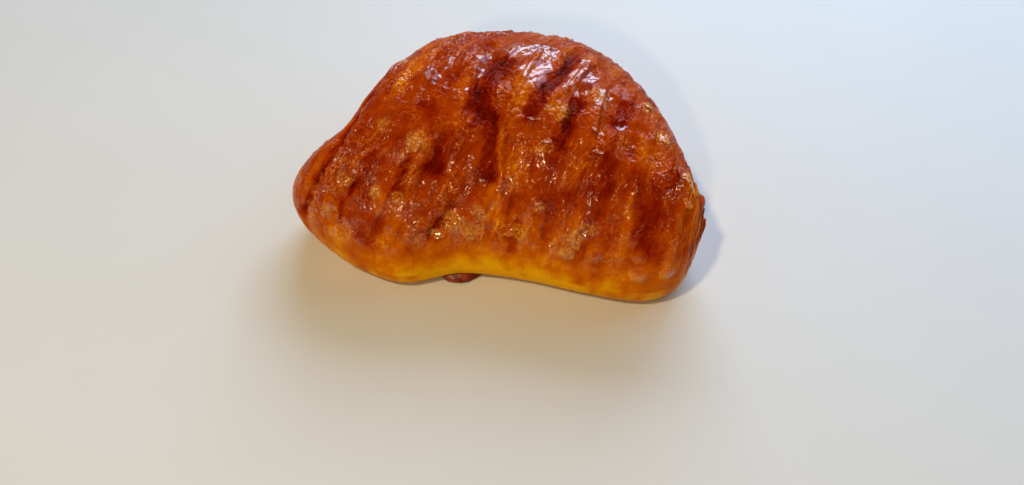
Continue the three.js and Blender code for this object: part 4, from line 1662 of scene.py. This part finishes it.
@dataclass(frozen=True)
class GlazedCrust:
    """Baked crust under a clear glaze, from pale dough over amber to dark red-brown.

    Sizes of the noises and the depth of the bump are in millimetres.
    """

    dough: tuple[float, float, float] = linear(250, 188, 18)
    golden: tuple[float, float, float] = linear(219, 122, 3)
    amber: tuple[float, float, float] = linear(180, 75, 1)
    brown: tuple[float, float, float] = linear(145, 36, 1)
    dark: tuple[float, float, float] = linear(92, 8, 1)
    flake: tuple[float, float, float] = linear(248, 176, 66)
    underside: tuple[float, float, float] = linear(214, 140, 44)
    sheen: tuple[float, float, float] = (1.0, 0.66, 0.24)
    mottle_size: float = 4.0
    speck_size: float = 0.9
    grit_size: float = 0.8
    swell_size: float = 1.7
    bump_depth: float = 0.42
    roughness: float = 0.27
    dry_shine: float = 0.05
    glaze_roughness: float = 0.13
    glaze_index: float = 1.75

    def material(self) -> bpy.types.Material:
        """Builds the material: the vertex marks, broken up by noise, drive a ramp.

        Returns:
            The material.
        """
        shader = Shader("glazed_crust")
        tone, pale, under = shader.mark("tone"), shader.mark("pale"), shader.mark("under")
        crisp, tan, tooth, glaze = (shader.mark(name) for name in ("crisp", "tan", "tooth", "glaze"))
        mottle = shader.noise(self.mottle_size, 4.0, 0.62) - 0.5
        speck = shader.noise(self.speck_size, 3.0, 0.65) - 0.5
        share = tone + mottle * (0.42 - pale * 0.25) + speck * (0.16 + crisp * 0.5)
        share = share - tooth * 0.2 - pale * 0.46
        colour = shader.ramp(
            share.clamped(),
            (0.0, self.dough),
            (0.2, self.golden),
            (0.45, self.amber),
            (0.7, self.brown),
            (1.0, self.dark),
        )
        flake_share = (tan * (0.34 + speck * 3.0)).clamped()
        colour = shader.blend(flake_share, colour, self.flake)
        under_share = (under * (0.85 + mottle * 0.8)).clamped()
        colour = shader.blend(under_share, colour, self.underside)
        grit = shader.noise(self.grit_size, 1.0, 0.5)
        swell = shader.noise(self.swell_size, 3.0, 0.6, 0.6)
        height = grit * (tan * 1.2 + crisp * 0.8 + 0.05) + swell * (0.15 + crisp * 0.9)
        bump = shader.bump(height, self.bump_depth)
        return shader.finish(
            {
                "Base Color": colour,
                "Roughness": self.roughness - crisp * 0.1 - tan * 0.06 + under * 0.4 + pale * 0.25,
                "Specular IOR Level": self.dry_shine,
                "Specular Tint": self.sheen,
                "Subsurface Weight": 0.2,
                "Subsurface Radius": (1.0, 0.35, 0.05),
                "Subsurface Scale": 0.002,
                "Coat Weight": (glaze - under * 0.7).clamped(),
                "Coat Roughness": self.glaze_roughness,
                "Coat IOR": self.glaze_index,
                "Normal": bump,
            }
        )


@dataclass(frozen=True)
class SetChocolate:
    """Dark chocolate that has melted, set again and kept a slight shine."""

    light: tuple[float, float, float] = linear(158, 66, 26)
    dark: tuple[float, float, float] = linear(96, 32, 12)
    roughness: float = 0.28

    def material(self) -> bpy.types.Material:
        """Builds the material: two browns by noise, with fine dents.

        Returns:
            The material.
        """
        shader = Shader("set_chocolate")
        share = shader.noise(2.5, 4.0, 0.6).eased(0.35, 0.68)
        height = shader.noise(1.1, 3.0, 0.6)
        return shader.finish(
            {
                "Base Color": shader.blend(share, self.dark, self.light),
                "Roughness": self.roughness + share * 0.15,
                "Coat Weight": 0.4,
                "Coat Roughness": 0.12,
                "Normal": shader.bump(height, 0.25),
            }
        )


@dataclass(frozen=True)
class PaleFloor:
    """The plain pale surface that the pastry lies on."""

    colour: tuple[float, float, float] = (0.74, 0.73, 0.725)
    roughness: float = 0.38

    def material(self) -> bpy.types.Material:
        """Builds the material: one pale colour with a faint unevenness.

        Returns:
            The material.
        """
        shader = Shader("pale_floor")
        share = shader.noise(60.0, 2.0, 0.5)
        darker = tuple(channel * 0.96 for channel in self.colour)
        return shader.finish(
            {
                "Base Color": shader.blend(share, self.colour, darker),
                "Roughness": self.roughness,
                "Specular IOR Level": 0.05,
            }
        )


# ---- Studio -----------------------------------------------------------------


@dataclass(frozen=True)
class Lamp:
    """A soft rectangular light that looks at the pastry."""

    name: str
    azimuth: float
    elevation: float
    distance: float
    size: tuple[float, float]
    power: float
    colour: tuple[float, float, float]

    def build(self) -> None:
        """Places the lamp. Azimuth 0 is in front, 90 to the right, 180 behind."""
        turn, lift = math.radians(self.azimuth), math.radians(self.elevation)
        data = bpy.data.lights.new(self.name, "AREA")
        data.shape = "RECTANGLE"
        data.size, data.size_y = self.size
        data.energy = self.power
        data.color = self.colour
        lamp = bpy.data.objects.new(self.name, data)
        flat = self.distance * math.cos(lift)
        height = self.distance * math.sin(lift)
        lamp.location = (flat * math.sin(turn), -flat * math.cos(turn), height + 0.02)
        lamp.rotation_euler = (math.pi / 2 - lift, 0.0, turn)
        bpy.context.scene.collection.objects.link(lamp)


@dataclass(frozen=True)
class Camera:
    """The camera at the photo's place: its height, tilt and lens in the dough's frame.

    foot: the point under the camera in the modelling frame, in millimetres.
    """

    foot: tuple[float, float] = (4.7, -182.2)
    height: float = 222.0
    tilt_down: float = 54.0
    focal_share: float = 785.0 / 1024.0
    sensor: float = 36.0

    def build(self, shift: np.ndarray) -> None:
        """Places the camera and makes it the scene's.

        Args:
            shift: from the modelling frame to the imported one, in millimetres.
        """
        data = bpy.data.cameras.new("camera")
        data.sensor_width = self.sensor
        data.sensor_fit = "HORIZONTAL"
        data.lens = self.focal_share * self.sensor
        data.clip_start = 0.01
        camera = bpy.data.objects.new("camera", data)
        camera.location = (np.array([*self.foot, self.height]) + shift) * MM
        camera.rotation_euler = (math.radians(90.0 - self.tilt_down), 0.0, 0.0)
        bpy.context.scene.collection.objects.link(camera)
        bpy.context.scene.camera = camera


@dataclass(frozen=True)
class Studio:
    """Floor, lights and surroundings."""

    floor_half_side: float = 3.0
    surroundings: tuple[float, float, float] = (1.0, 0.86, 0.66)
    surroundings_strength: float = 0.11
    lamps: tuple[Lamp, ...] = (
        Lamp("cool_back_lamp", 168.0, 34.0, 1.0, (0.8, 0.52), 8.8, (0.58, 0.76, 1.0)),
        Lamp("cool_side_lamp", 115.0, 38.0, 0.5, (0.3, 0.3), 0.6, (0.45, 0.66, 1.0)),
        Lamp("warm_high_lamp", -46.0, 64.0, 0.8, (0.05, 0.05), 2.1, (1.0, 0.82, 0.5)),
        Lamp("warm_low_lamp", -14.0, 36.0, 0.8, (0.04, 0.04), 1.1, (1.0, 0.8, 0.46)),
    )

    def build(self) -> None:
        """Makes the floor, the lamps and the world's even light."""
        half = self.floor_half_side
        corners = np.array([[-half, -half, 0], [half, -half, 0], [half, half, 0], [-half, half, 0]], float)
        floor = make_mesh("floor", corners, np.array([[0, 1, 2, 3]]), np.zeros((0, 3), int))
        floor.data.materials.append(PaleFloor().material())
        for lamp in self.lamps:
            lamp.build()
        world = bpy.data.worlds.new("surroundings")
        world.use_nodes = True
        background = world.node_tree.nodes["Background"]
        background.inputs["Color"].default_value = (*self.surroundings, 1.0)
        background.inputs["Strength"].default_value = self.surroundings_strength
        bpy.context.scene.world = world
        bpy.context.scene.view_settings.view_transform = "Standard"
        bpy.context.scene.view_settings.look = "Medium High Contrast"


# ---- Assembly ---------------------------------------------------------------


def put_in_place(piece: bpy.types.Object, material: bpy.types.Material, node: str = "") -> None:
    """Dresses a piece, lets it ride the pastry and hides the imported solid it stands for.

    Args:
        piece: the piece's object.
        material: its finish.
        node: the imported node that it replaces, if any.
    """
    piece.data.materials.append(material)
    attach(piece, "root")
    if node:
        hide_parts(node)
    LOG.info("%s: %d vertices, %d faces", piece.name, len(piece.data.vertices), len(piece.data.polygons))


def main() -> None:
    """Builds the crust, the chocolate, the studio and the camera in order."""
    logging.basicConfig(level=logging.INFO, format="%(message)s")
    crust = Crust()
    glazed = GlazedCrust().material()
    for piece in crust.build():
        put_in_place(piece, glazed, "pastry")
    put_in_place(Flakes().build(crust), glazed)
    tongue = ChocolateTongue()
    put_in_place(tongue.build(crust.shift), SetChocolate().material(), "chocolate")
    Studio().build()
    Camera().build(crust.shift)


if __name__ == "__main__":
    main()
